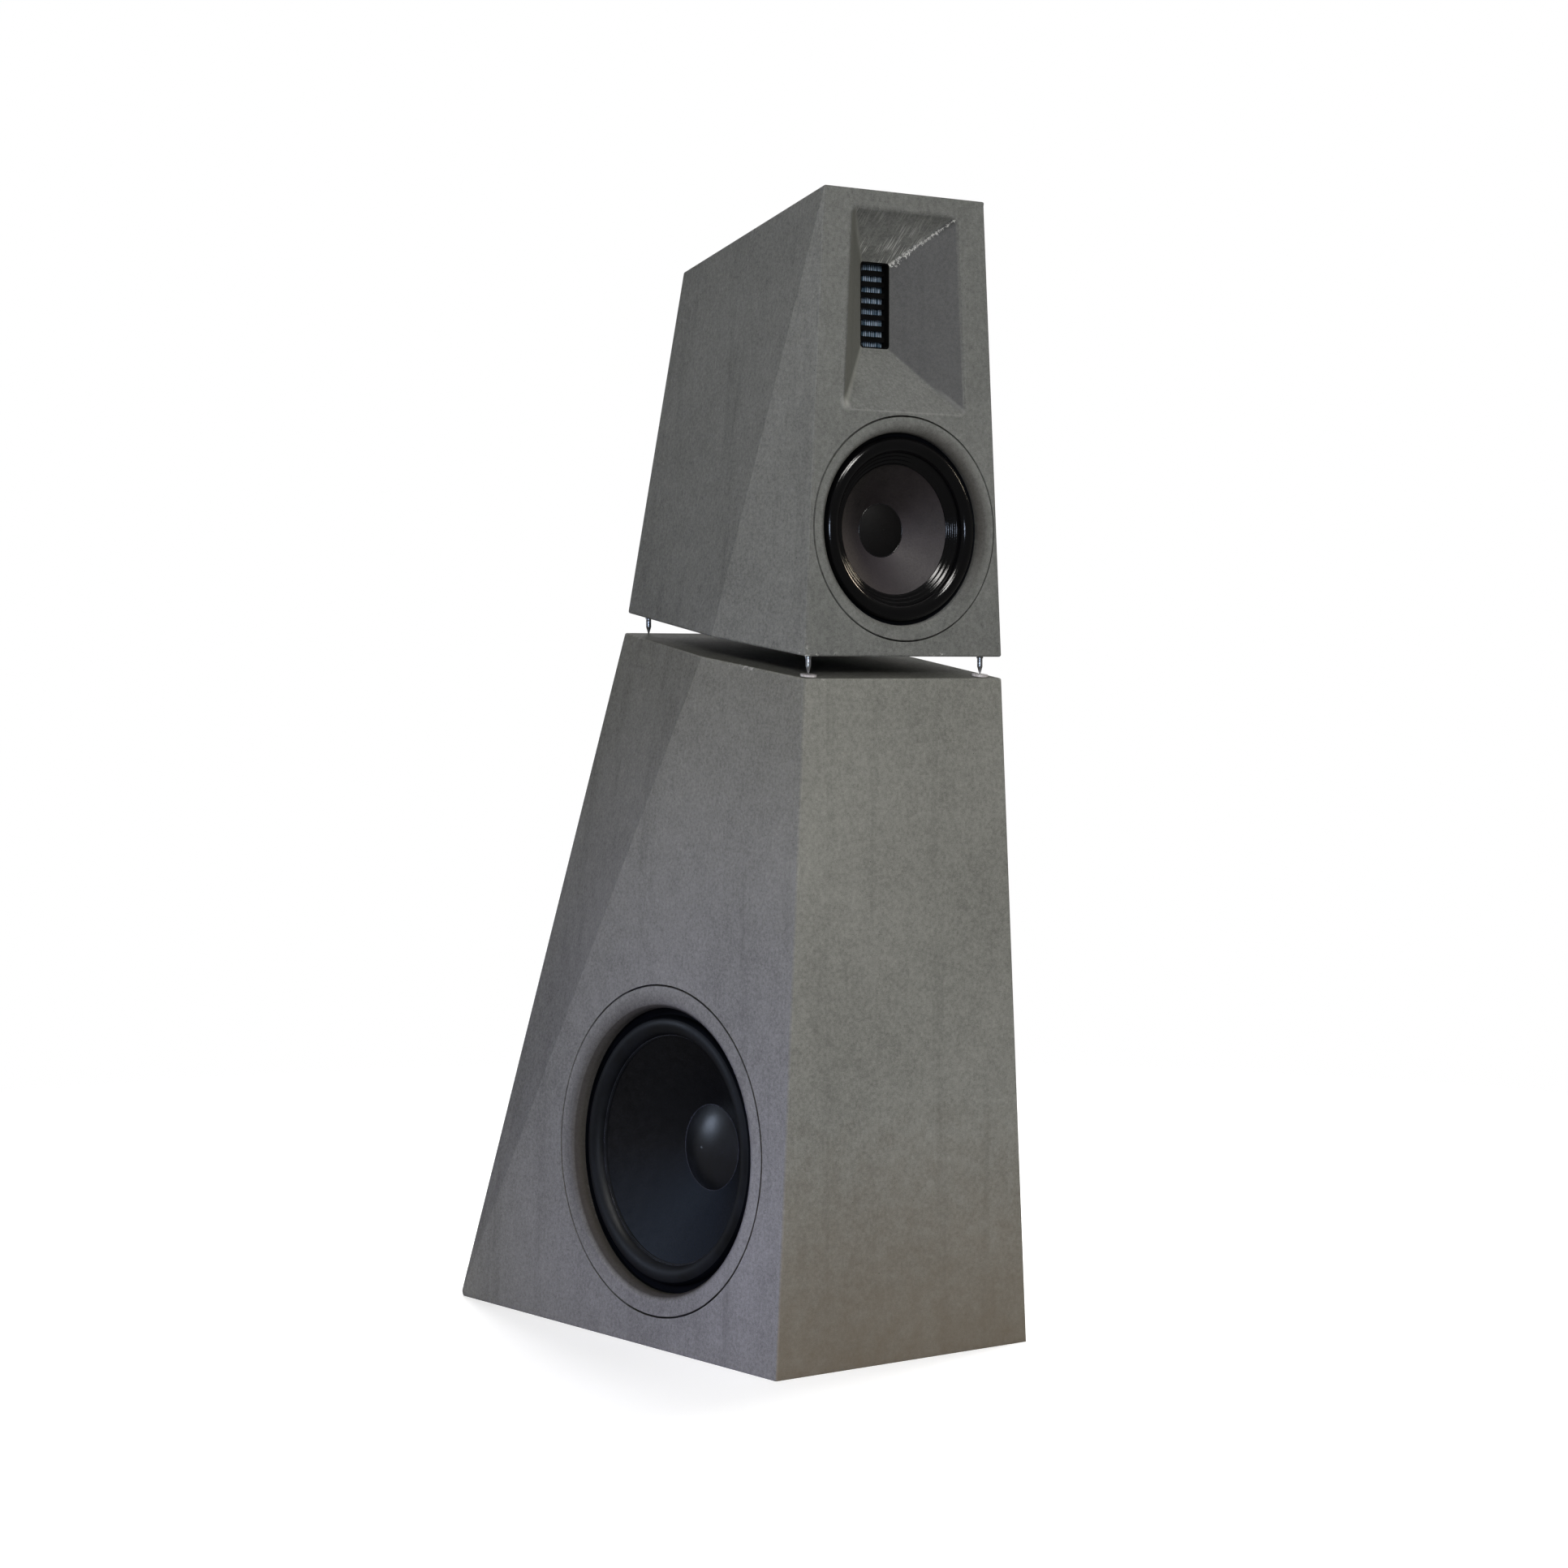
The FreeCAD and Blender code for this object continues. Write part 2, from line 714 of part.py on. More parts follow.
def make_basket(name, d, frame):
    """The cast frame: flange, side wall with windows, landing of the spider and floor on the magnet."""
    landing = d.spider_depth + S.bond_gap
    foot = d.plate_front
    landing_inside = d.spider_radius - d.landing_width
    floor_hole = d.coil_radius + d.landing_width
    outline = [
        (d.flange_radius, d.front),
        (d.flange_radius, d.flange_back),
        (d.basket_radius, d.flange_back),
        (d.spider_radius + d.basket_wall, landing),
        (d.spider_radius + d.basket_wall, foot),
        (floor_hole, foot),
        (floor_hole, foot - d.basket_wall),
        (landing_inside, foot - d.basket_wall),
        (landing_inside, landing),
        (d.spider_radius, landing),
        (d.basket_radius - d.basket_wall, d.flange_back),
        (d.basket_radius - d.basket_wall, d.front),
    ]
    body = turned(f"{name}_frame", outline, frame)
    window_outline = [
        (landing_inside, d.flange_back + d.basket_wall),
        (d.flange_radius, d.flange_back + d.basket_wall),
        (d.flange_radius, landing - d.basket_wall),
        (landing_inside, landing - d.basket_wall),
    ]
    sketch = outline_sketch(body, f"{name}_window_outline", window_outline)
    window = body.newObject("PartDesign::Groove", f"{name}_window")
    window.Profile = sketch
    window.ReferenceAxis = (sketch, ["V_Axis"])
    bind(window, Angle=d.window_angle)
    window.Midplane = True
    pattern = body.newObject("PartDesign::PolarPattern", f"{name}_windows")
    pattern.Originals = [window]
    pattern.Axis = (sketch, ["V_Axis"])
    pattern.Angle = 360
    pattern.Occurrences = WINDOW_COUNT
    body.Tip = pattern
    holes = driver_screw_holes(f"{name}_flange", d, frame)
    node(cut(f"{name}_drilled_frame", body, [holes]), f"{name}_basket")
    gasket = washer(f"{name}_seal", d.hole_radius, d.flange_radius, d.flange_back, d.seat, frame)
    node(cut(f"{name}_punched_seal", gasket, [holes]), f"{name}_gasket")


def terminal_pocket(name, frame):
    """The recess of a terminal plate and the window behind it, as one tool."""
    outside = shift(frame, inward=-S.overcut.value)
    margin = S.bond_gap * 2
    recess = box(f"{name}_terminal_recess", outside, S.terminal_width + margin, S.terminal_height + margin,
                 S.overcut + S.terminal_thickness)
    window = box(f"{name}_terminal_window", outside, S.terminal_width - S.terminal_border * 2,
                 S.terminal_height - S.terminal_border * 2, S.wall + S.overcut * 2)
    holes = screw_shape(S.terminal_screw_radius, S.terminal_screw_length, S.screw_gap.value, S.overcut.value)
    drilled = copies(f"{name}_terminal_drillings", holes, terminal_corners(frame))
    return [recess, window, drilled]


def terminal_corners(frame):
    inset = S.terminal_border.value / 2
    across_half = S.terminal_width.value / 2 - inset
    up_half = S.terminal_height.value / 2 - inset
    return [shift(frame, side * across_half, level * up_half) for side in (-1, 1) for level in (-1, 1)]


def make_terminal(name, frame):
    """A recessed plate with two binding posts, one cap red and one black."""
    plate = box(f"{name}_panel", frame, S.terminal_width, S.terminal_height, S.terminal_thickness)
    posts = [shift(frame, side * S.post_spacing.value / 2) for side in (-1, 1)]
    bores = copies(f"{name}_post_bores", Part.makeCylinder(
        (S.post_neck_radius + S.bond_gap).value, (S.terminal_thickness + S.overcut * 2).value,
        Vector(0, 0, -S.overcut.value)), posts)
    screw_holes = copies(f"{name}_panel_drillings", screw_shape(
        S.terminal_screw_radius, S.terminal_screw_length, S.screw_gap.value, S.slip_gap.value),
        terminal_corners(frame))
    node(cut(f"{name}_drilled_panel", plate, [bores, screw_holes]), f"{name}_terminal_plate")

    collar = S.terminal_thickness
    tail = S.terminal_thickness + S.post_tail
    outline = [
        (0, S.post_length + tail),
        (0, S.post_bore_depth),
        (S.post_bore_radius, S.post_bore_depth),
        (S.post_bore_radius, 0),
        (S.post_radius, 0),
        (S.post_radius, S.post_length - collar),
        (S.post_collar_radius, S.post_length - collar),
        (S.post_collar_radius, S.post_length),
        (S.post_neck_radius, S.post_length),
        (S.post_neck_radius, S.post_length + tail),
    ]
    post = turned(f"{name}_post", outline, Placement())
    doc.recompute()
    places = [shift(place, inward=-S.post_length.value) for place in posts]
    node(copies(f"{name}_posts", post.Shape, places), f"{name}_terminal_posts")

    knob_end = S.post_length - collar - S.bond_gap
    knob_start = knob_end - S.cap_knob_length
    for colour, place in zip(("red", "black"), places):
        knob = washer(f"{name}_{colour}_knob", S.post_radius + S.bond_gap, S.cap_knob_radius,
                      knob_start, knob_end, place)
        node(knob, f"{name}_terminal_cap_{colour}")

    screws = screw_shape(S.terminal_screw_radius, S.terminal_screw_length)
    node(copies(f"{name}_panel_fixings", screws, terminal_corners(frame)), f"{name}_terminal_screws")


def board_layout():
    """The crossover's plan, worked out from the parts on it: chokes behind, capacitors in front."""
    plan = SimpleNamespace()
    plan.choke_across = S.resistor_length / 2 + S.part_spacing + S.choke_radius
    plan.length = (plan.choke_across + S.choke_radius + S.board_edge) * 2
    plan.width = (S.board_edge + S.capacitor_radius + S.choke_radius) * 2 + S.part_spacing
    plan.choke_back = plan.width / 2 - S.board_edge - S.choke_radius
    plan.capacitor_back = S.board_edge + S.capacitor_radius - plan.width / 2
    plan.capacitor_pitch = S.capacitor_length + S.part_spacing
    plan.top = (S.wall + S.board_thickness).value
    plan.middle = Vector(0, FRONT + S.board_setback.value, S.wall.value)
    return plan


BOARD = board_layout()


def board_corners(height):
    half_length = (BOARD.length / 2 - S.board_edge / 2).value
    half_width = (BOARD.width / 2 - S.board_edge / 2).value
    down = Rotation(Vector(1, 0, 0), 180)
    corners = []
    for side in (-1, 1):
        for level in (-1, 1):
            point = BOARD.middle + Vector(side * half_length, level * half_width, height)
            corners.append(Placement(point, down))
    return corners


def board_screw_holes():
    holes = screw_shape(S.board_screw_radius, S.board_screw_length, S.screw_gap.value, S.slip_gap.value)
    heads = S.board_thickness.value + head_rise(S.board_screw_radius)
    return copies("board_drillings", holes, board_corners(heads))


def make_crossover():
    upright = Placement(BOARD.middle, Rotation())
    board = box("board_blank", upright, BOARD.length, BOARD.width, S.board_thickness)
    node(cut("board", board, [board_screw_holes()]), "crossover_board")
    screws = screw_shape(S.board_screw_radius, S.board_screw_length)
    heads = S.board_thickness.value + head_rise(S.board_screw_radius)
    node(copies("board_fixings", screws, board_corners(heads)), "crossover_screws")

    top = S.board_thickness.value
    choke = washer("choke", S.choke_bore, S.choke_radius, 0, S.choke_height, Placement())
    doc.recompute()
    choke_places = [shift(upright, side * BOARD.choke_across.value, BOARD.choke_back.value, top)
                    for side in (-1, 1)]
    node(copies("chokes", choke.Shape, choke_places), "crossover_coils")

    lying = Rotation(Vector(0, 1, 0), 90)
    capacitor = Part.makeCylinder(S.capacitor_radius.value, S.capacitor_length.value,
                                  Vector(0, 0, -S.capacitor_length.value / 2))
    capacitor_places = []
    for step in (-1, 0, 1):
        point = Vector(step * BOARD.capacitor_pitch.value, BOARD.capacitor_back.value,
                       top + S.capacitor_radius.value)
        capacitor_places.append(Placement(BOARD.middle + point, lying))
    node(copies("capacitors", capacitor, capacitor_places), "crossover_capacitors")

    resistor = Part.makeBox(S.resistor_length.value, S.resistor_side.value, S.resistor_side.value,
                            Vector(-S.resistor_length.value / 2, -S.resistor_side.value / 2, 0))
    spread = S.resistor_side.value
    resistor_places = [shift(upright, 0, BOARD.choke_back.value + step * spread, top) for step in (-1, 1)]
    node(copies("resistors", resistor, resistor_places), "crossover_resistors")


def rounded_ring(corners, radius):
    """A closed wire through flat corners, each rounded to a radius."""
    arcs, sides = [], []
    for index, corner in enumerate(corners):
        back = (corners[index - 1] - corner).normalize()
        forth = (corners[(index + 1) % len(corners)] - corner).normalize()
        half_angle = back.getAngle(forth) / 2
        bisector = (back + forth).normalize()
        reach = radius / math.tan(half_angle)
        nearest = corner + bisector * (radius / math.sin(half_angle) - radius)
        arcs.append(Part.Arc(corner + back * reach, nearest, corner + forth * reach).toShape())
    for arc, following in zip(arcs, arcs[1:] + arcs[:1]):
        sides.append(Part.makeLine(arc.lastVertex().Point, following.firstVertex().Point))
    return Part.Wire([edge for pair in zip(arcs, sides) for edge in pair])


def horn_air():
    """The horn's hollow, from its mouth in the front to the throat, and the short throat behind it."""
    margin = S.horn_side_margin.value
    low, high = horn_bottom.value, horn_top.value
    mouth = []
    for side, level in ((-1, low), (1, low), (1, high), (-1, high)):
        half = waist_half - TAPER * level - margin
        mouth.append(Vector(side * half, FRONT, HEAD_FLOOR + level))
    half_width = S.throat_width.value / 2
    half_height = S.throat_height.value / 2
    centre = shift(HORN_FRAME, inward=S.horn_depth.value).Base
    throat = []
    for side, level in ((-1, -1), (1, -1), (1, 1), (-1, 1)):
        throat.append(centre + Vector(side * half_width, 0, level * half_height))
    mouth_ring = rounded_ring(mouth, S.horn_corner_round.value)
    throat_ring = rounded_ring(throat, S.throat_round.value)
    horn = Part.makeLoft([mouth_ring, throat_ring], True, True)
    passage = Part.Face(throat_ring).extrude(INTO_FRONT * S.throat_length.value)
    return feature("horn_air", horn.fuse(passage).removeSplitter())


def horn_block():
    """The concrete that surrounds the horn inside the head."""
    block = box("horn_block", HORN_FRAME, S.base_front_width, horn_top - horn_bottom + S.horn_web * 2,
                S.horn_depth + S.throat_length)
    middle = (horn_top + horn_bottom).value / 2
    reach = (horn_top - horn_bottom).value / 2 + S.horn_web.value
    block.Placement.Base = Vector(block.Placement.Base.x, FRONT, HEAD_FLOOR + middle - reach)
    return block


def tweeter_corners():
    """Screw places in the corners of the tweeter's plates, seen from behind the throat."""
    half_width = (S.throat_width / 2 + S.tweeter_side_margin - S.tweeter_screw_inset).value
    half_height = (S.throat_height / 2 + S.tweeter_end_margin - S.tweeter_screw_inset).value
    behind = (S.tweeter_gasket_thickness + S.tweeter_plate_thickness).value
    heads = behind + head_rise(S.tweeter_screw_radius)
    outwards = Placement(Vector(), Rotation(Vector(1, 0, 0), 180))
    corners = []
    for side in (-1, 1):
        for level in (-1, 1):
            place = shift(TWEETER_FRAME, side * half_width, level * half_height, heads)
            corners.append(place.multiply(outwards))
    return corners


def tweeter_screw_holes(name):
    holes = screw_shape(S.tweeter_screw_radius, S.tweeter_screw_length, S.screw_gap.value, S.slip_gap.value)
    return copies(name, holes, tweeter_corners())


def make_tweeter():
    """The folded-ribbon tweeter: gasket, slotted front plate, ribbon between bar magnets, rear plate, cup."""
    width = S.throat_width + S.tweeter_side_margin * 2
    height = S.throat_height + S.tweeter_end_margin * 2
    gasket_front = TWEETER_FRAME
    plate_front = shift(gasket_front, inward=S.tweeter_gasket_thickness.value)
    gap_front = shift(plate_front, inward=S.tweeter_plate_thickness.value)
    rear_front = shift(gap_front, inward=S.tweeter_magnet_depth.value)
    housing_front = shift(rear_front, inward=S.tweeter_plate_thickness.value)
    holes = tweeter_screw_holes("tweeter_drillings")

    sheet_blank = box("tweeter_seal_blank", gasket_front, width, height, S.tweeter_gasket_thickness)
    opening = box("tweeter_seal_opening", gasket_front, S.throat_width + S.slip_gap * 2,
                  S.throat_height + S.slip_gap * 2, S.tweeter_gasket_thickness)
    node(cut("tweeter_seal", sheet_blank, [opening, holes]), "tweeter_gasket")

    plate = box("tweeter_plate_blank", plate_front, width, height, S.tweeter_plate_thickness)
    spigot_width = S.throat_width - S.bond_gap * 2
    spigot_height = S.throat_height - S.bond_gap * 2
    spigot_front = shift(gasket_front, inward=-S.throat_length.value)
    spigot_length = S.throat_length + S.tweeter_gasket_thickness
    spigot = rounded_box("tweeter_spigot", spigot_front, spigot_width, spigot_height, spigot_length,
                         S.throat_round)
    window = rounded_box("tweeter_window", spigot_front, spigot_width - S.spigot_wall * 2,
                         spigot_height - S.spigot_wall * 2, spigot_length, S.throat_round - S.bond_gap * 2)
    rim = cut("tweeter_rim", spigot, [window])
    pitch = S.slot_height + S.slot_bar
    slots = []
    for index in range(SLOT_COUNT):
        level = (index - (SLOT_COUNT - 1) / 2) * pitch.value
        slots.append(box(f"tweeter_slot_{index + 1}", shift(plate_front, up=level), S.slot_width,
                         S.slot_height, S.tweeter_plate_thickness))
    faced = fuse("tweeter_faced_plate", [plate, rim])
    node(cut("tweeter_plate", faced, slots + [holes]), "tweeter_front_plate")

    node(feature("tweeter_ribbon", pleated_ribbon(), gap_front), "tweeter_diaphragm")

    bar_height = pitch * SLOT_COUNT
    bar_across = (S.slot_width + S.tweeter_magnet_width) / 2 + S.slip_gap
    bar = Part.makeBox(S.tweeter_magnet_width.value, bar_height.value, S.tweeter_magnet_depth.value,
                       Vector(-S.tweeter_magnet_width.value / 2, -bar_height.value / 2, 0))
    bar_places = [shift(gap_front, side * bar_across.value) for side in (-1, 1)]
    node(copies("tweeter_bars", bar, bar_places), "tweeter_magnets")

    rear_width = S.slot_width + (S.tweeter_magnet_width + S.slip_gap) * 2
    rear_plate = box("tweeter_rear_blank", rear_front, rear_width, bar_height, S.tweeter_plate_thickness)
    rear_slots = []
    for index in range(SLOT_COUNT):
        level = (index - (SLOT_COUNT - 1) / 2) * pitch.value
        rear_slots.append(box(f"tweeter_rear_slot_{index + 1}", shift(rear_front, up=level), S.slot_width,
                              S.slot_height, S.tweeter_plate_thickness))
    node(cut("tweeter_rear", rear_plate, rear_slots), "tweeter_rear_plate")

    cup = box("tweeter_cup_blank", housing_front, rear_width, bar_height, S.housing_depth)
    hollow = box("tweeter_cup_hollow", housing_front, rear_width - S.housing_wall * 2,
                 bar_height - S.housing_wall * 2, S.housing_depth - S.housing_wall)
    node(cut("tweeter_cup", cup, [hollow]), "tweeter_housing")

    screws = screw_shape(S.tweeter_screw_radius, S.tweeter_screw_length)
    node(copies("tweeter_fixings", screws, tweeter_corners()), "tweeter_screws")


def pleated_ribbon():
    """The ribbon's upright pleats, drawn as one zigzag and run up the height of the slots."""
    wall = S.pleat_wall.value
    near = S.bond_gap.value
    far = near + S.pleat_depth.value
    step = S.slot_width.value / (2 * PLEAT_COUNT)
    height = (S.slot_height + S.slot_bar).value * SLOT_COUNT
    front, back = [], []
    for index in range(2 * PLEAT_COUNT + 1):
        x = -S.slot_width.value / 2 + index * step
        depth = far if index % 2 else near
        front.append(Vector(x, -height / 2, depth))
        back.append(Vector(x, -height / 2, depth + wall * math.hypot(step, far - near) / step))
    ring = front + back[::-1]
    return Part.Face(Part.makePolygon(ring + ring[:1])).extrude(Vector(0, height, 0))


def spike_places():
    """The four points of the bass cabinet's top under the spikes: front pair, then rear pair."""
    front_depth = S.front_spike_setback.value
    rear_depth = S.bass_top_depth.value - S.rear_spike_setback.value
    front_half = waist_half - S.front_spike_inset.value
    rear_half = S.bass_top_rear_width.value / 2 - S.rear_spike_inset.value
    pairs = []
    for half, depth in ((front_half, front_depth), (rear_half, rear_depth)):
        pairs.append([Vector(side * half, FRONT + depth, cut_height(depth)) for side in (-1, 1)])
    return pairs


FRONT_SPIKES, REAR_SPIKES = spike_places()
DISC_LIFT = S.disc_thickness.value / math.cos(math.radians(S.cut_angle.value))


def spike_seats(lift):
    """Upright places for what goes with each spike, a lift above its foot on the bass cabinet."""
    return [Placement(point + Vector(0, 0, lift), Rotation()) for point in FRONT_SPIKES + REAR_SPIKES]


def insert_holes():
    lift = (S.head_gap - S.overcut).value
    hole = Part.makeCylinder((S.insert_radius + S.screw_gap).value,
                             (S.overcut + S.insert_sink + S.insert_length).value)
    return copies("insert_holes", hole, spike_seats(lift))


def make_spikes():
    tilt = Rotation(Vector(1, 0, 0), S.cut_angle.value)
    disc = Part.makeCylinder(S.disc_radius.value, S.disc_thickness.value)
    node(copies("discs", disc, [Placement(point, tilt) for point in FRONT_SPIKES]), "spike_discs")

    exposed = S.head_gap - S.disc_thickness
    outline = [
        (0, 0),
        (S.spike_tip_radius, 0),
        (S.spike_radius, S.spike_tip_length),
        (S.spike_radius, exposed - S.spike_collar_height),
        (S.spike_collar_radius, exposed - S.spike_collar_height),
        (S.spike_collar_radius, exposed),
        (S.spike_radius, exposed),
        (S.spike_radius, exposed + S.spike_thread),
        (0, exposed + S.spike_thread),
    ]
    spike = turned("spike", outline, Placement())
    doc.recompute()
    places = [Placement(point + Vector(0, 0, DISC_LIFT + S.bond_gap.value), Rotation())
              for point in FRONT_SPIKES]
    places += [Placement(point + Vector(0, 0, S.bond_gap.value), Rotation()) for point in REAR_SPIKES]
    node(copies("four_spikes", spike.Shape, places), "spikes")

    insert = washer("insert", S.spike_radius + S.screw_gap, S.insert_radius, 0, S.insert_length, Placement())
    doc.recompute()
    lift = (S.head_gap + S.insert_sink).value
    node(copies("four_inserts", insert.Shape, spike_seats(lift)), "spike_inserts")


def rounded(block):
    """A casting with its edges eased, apart from those on the floor."""
    floor = S.edge_round.value / 2
    return block.makeFillet(S.edge_round.value, [edge for edge in block.Edges if edge.BoundBox.ZMax > floor])


def make_bass_cabinet():
    block = feature("bass_block", rounded(faceted(BASS_FACETS)))
    hollow = feature("bass_hollow", faceted(BASS_FACETS, S.wall.value))
    tools = [hollow] + driver_bores("woofer", woofer, WOOFER_FRAME)
    tools += terminal_pocket("bass", BASS_TERMINAL_FRAME)
    tools.append(board_screw_holes())
    node(cut("bass_casting", block, tools), "bass_cabinet")


def on_horn_mouth(edge):
    """Whether an edge of the head runs round the horn's mouth in the front face."""
    bounds = edge.BoundBox
    low = HEAD_FLOOR + horn_bottom.value - S.edge_round.value
    high = HEAD_FLOOR + horn_top.value + S.edge_round.value
    in_front = bounds.YMax < FRONT + S.edge_round.value / 2
    beside_mouth = bounds.ZMin > low and bounds.ZMax < high
    widest = waist_half - S.horn_side_margin.value / 2
    return in_front and beside_mouth and max(-bounds.XMin, bounds.XMax) < widest


def make_head_cabinet():
    block = feature("head_block", rounded(faceted(HEAD_FACETS)))
    hollow = feature("head_hollow", faceted(HEAD_FACETS, S.wall.value))
    chamber = cut("head_chamber", hollow, [horn_block()])
    tools = [chamber, horn_air()] + driver_bores("mid", mid, MID_FRAME)
    tools += terminal_pocket("head", HEAD_TERMINAL_FRAME)
    tools += [tweeter_screw_holes("head_tweeter_drillings"), insert_holes()]
    casting = cut("head_casting", block, tools)
    doc.recompute()
    eased = doc.addObject("Part::Fillet", "head_eased_casting")
    eased.Base = casting
    eased.Edges = [(index, S.horn_edge_round.value, S.horn_edge_round.value)
                   for index, edge in enumerate(casting.Shape.Edges, start=1) if on_horn_mouth(edge)]
    node(eased, "head_cabinet")


def check_document():
    doc.recompute()
    for item in doc.Objects:
        if "Invalid" in item.State or "Error" in item.State:
            raise RuntimeError(f"{item.Label} failed: {item.State}")
    for item in nodes:
        if item.Shape.isNull() or not item.Shape.isValid():
            raise RuntimeError(f"{item.Label} has no valid shape")


def write_parts():
    os.makedirs("parts", exist_ok=True)
    for item in nodes:
        item.Shape.exportStep(os.path.join("parts", f"{item.Label}.step"))
        print(f"{item.Label}: {len(item.Shape.Solids)} solids, {item.Shape.Volume / 1000:.1f} cm3")


make_bass_cabinet()
make_driver("woofer", woofer, WOOFER_FRAME)
make_terminal("bass", BASS_TERMINAL_FRAME)
make_crossover()
make_head_cabinet()
make_driver("mid", mid, MID_FRAME)
make_tweeter()
make_terminal("head", HEAD_TERMINAL_FRAME)
make_spikes()
check_document()
write_parts()
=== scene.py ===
"""Looks of the concrete loudspeaker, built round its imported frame. Metres, +Z up, front towards -Y."""

import json
import math
from types import SimpleNamespace

import bpy
from mathutils import Matrix, Vector


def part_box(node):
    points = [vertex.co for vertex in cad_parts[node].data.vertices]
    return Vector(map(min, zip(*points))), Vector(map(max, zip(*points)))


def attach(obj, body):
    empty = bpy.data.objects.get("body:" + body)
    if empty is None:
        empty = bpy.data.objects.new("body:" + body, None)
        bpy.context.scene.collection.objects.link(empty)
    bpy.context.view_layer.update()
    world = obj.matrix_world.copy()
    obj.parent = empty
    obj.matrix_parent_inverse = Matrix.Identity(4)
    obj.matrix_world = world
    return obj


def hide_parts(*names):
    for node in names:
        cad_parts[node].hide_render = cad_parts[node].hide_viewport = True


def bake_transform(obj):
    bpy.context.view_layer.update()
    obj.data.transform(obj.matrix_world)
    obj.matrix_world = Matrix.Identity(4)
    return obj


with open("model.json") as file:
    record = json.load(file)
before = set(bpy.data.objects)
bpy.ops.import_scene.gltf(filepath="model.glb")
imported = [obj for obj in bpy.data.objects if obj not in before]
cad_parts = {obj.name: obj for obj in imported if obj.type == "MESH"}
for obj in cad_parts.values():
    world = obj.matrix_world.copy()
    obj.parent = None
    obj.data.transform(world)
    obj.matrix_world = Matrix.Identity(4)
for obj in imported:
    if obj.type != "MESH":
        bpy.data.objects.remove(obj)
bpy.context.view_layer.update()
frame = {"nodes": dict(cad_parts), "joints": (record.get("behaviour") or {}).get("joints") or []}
NODES = frame["nodes"]
BODY = "speaker"
CABINETS = ("bass", "head")

# Camera, found from the castings' straight edges in the photograph
CAMERA_PLACE = (-2.0367, -3.0233, 0.7579)
CAMERA_YAW = 35.39
CAMERA_PITCH = -2.09
PICTURE_PIXELS = 1932
FOCAL_PIXELS = 3836.6
AXIS_PIXEL = (1020.5, 967.0)
SENSOR = 36.0

# Sizes of the drivers' soft pieces, as in the frame
WOOFER = SimpleNamespace(
    name="woofer", cone=0.1295, roll=0.0225, land=0.008, bond=0.002, bond_fall=0.00136, wall=0.0016,
    face=0.021, ring_back=0.016, rim=0.002, shaded=0.004, cap=0.0485, fall=62 / 91.2, ridges=0,
    coil=0.038, spider_width=0.046, spider_landing=0.008, spider_wave=0.0024, spider_wall=0.0012,
    spider_depth=0.0949)
MID = SimpleNamespace(
    name="mid", cone=0.083, roll=0.018, land=0.004, bond=0.012, bond_fall=0.00716, wall=0.0012,
    face=0.013, ring_back=0.012, rim=0.002, shaded=0.0, cap=0.029, fall=38 / 63.7, ridges=3,
    coil=0.019, spider_width=0.030, spider_landing=0.006, spider_wave=0.0018, spider_wall=0.0008,
    spider_depth=0.0595)
SEAT_GAP = 0.0003
RIDGE_HEIGHT = 0.0008
CORNER_EASE = 0.0008
SPIDER_WAVES = 3
CAP_BEAD = 0.0006
CAP_BEAD_GAP = 0.0003
RIM_BEAD = 0.0008
RIM_BEAD_INSET = 0.0004

# How finely round shapes are divided, and the angle in degrees over which an edge stays sharp
ROUND_STEPS = 144
ROLL_STEPS = 28
ROLL_BACK_STEPS = 20
RIDGED_LIP_STEPS = 48
PLAIN_LIP_STEPS = 4
WAVE_STEPS = 16
BEAD_STEPS = 10
SHARP_ANGLE = 35

# Levels that the materials refer to; the head's foot is set far below it, because it has no brown one
HEAD_LOW, HEAD_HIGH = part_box("head_cabinet")
BASS_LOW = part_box("bass_cabinet")[0]
FRONT = BASS_LOW.y
BASS_FOOT = BASS_LOW.z
HEAD_FOOT = HEAD_LOW.z - 0.3
RIBBON_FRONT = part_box("tweeter_diaphragm")[0].y


def standing(centre, side, outward):
    """A frame at a point, with local X along the side and local Z outwards."""
    return Matrix.Translation(centre) @ Matrix((side, outward.cross(side), outward)).transposed().to_4x4()


def local_points(node, place):
    """A node's points in a local frame, each as its radius about local Z and its height."""
    inverse = place.inverted()
    points = [inverse @ vertex.co for vertex in NODES[node].data.vertices]
    return [(math.hypot(point.x, point.y), point.z) for point in points]


def driver_axis(name):
    """The way a driver faces, from the joint that its cone slides on."""
    joint = next(joint for joint in frame["joints"] if joint["child"] == f"{name}_cone_assembly")
    return Vector(joint["axis"]).normalized()


def driver_place(d):
    """A driver's frame: centre of its ring's face, local Z out of the cabinet."""
    outward = driver_axis(d.name)
    side = Vector((0, 0, 1)).cross(outward).normalized()
    up = outward.cross(side)
    points = [vertex.co for vertex in NODES[f"{d.name}_trim_ring"].data.vertices]

    def middle(direction):
        reaches = [point.dot(direction) for point in points]
        return (min(reaches) + max(reaches)) / 2

    face = max(point.dot(outward) for point in points)
    return standing(side * middle(side) + up * middle(up) + outward * face, side, outward)


def ring_edge(d):
    """Centre, axis, inner and outer radius of a driver's trim ring."""
    place = driver_place(d)
    radii = [radius for radius, _ in local_points(f"{d.name}_trim_ring", place)]
    return SimpleNamespace(centre=tuple(place.translation), axis=tuple(driver_axis(d.name)),
                           inner=min(radii), outer=max(radii))


def srgb(red, green, blue):
    """A colour given in picture values from 0 to 255, as the shader takes it."""
    def linear(value):
        value /= 255
        return value / 12.92 if value <= 0.04045 else ((value + 0.055) / 1.055) ** 2.4
    return (linear(red), linear(green), linear(blue), 1.0)


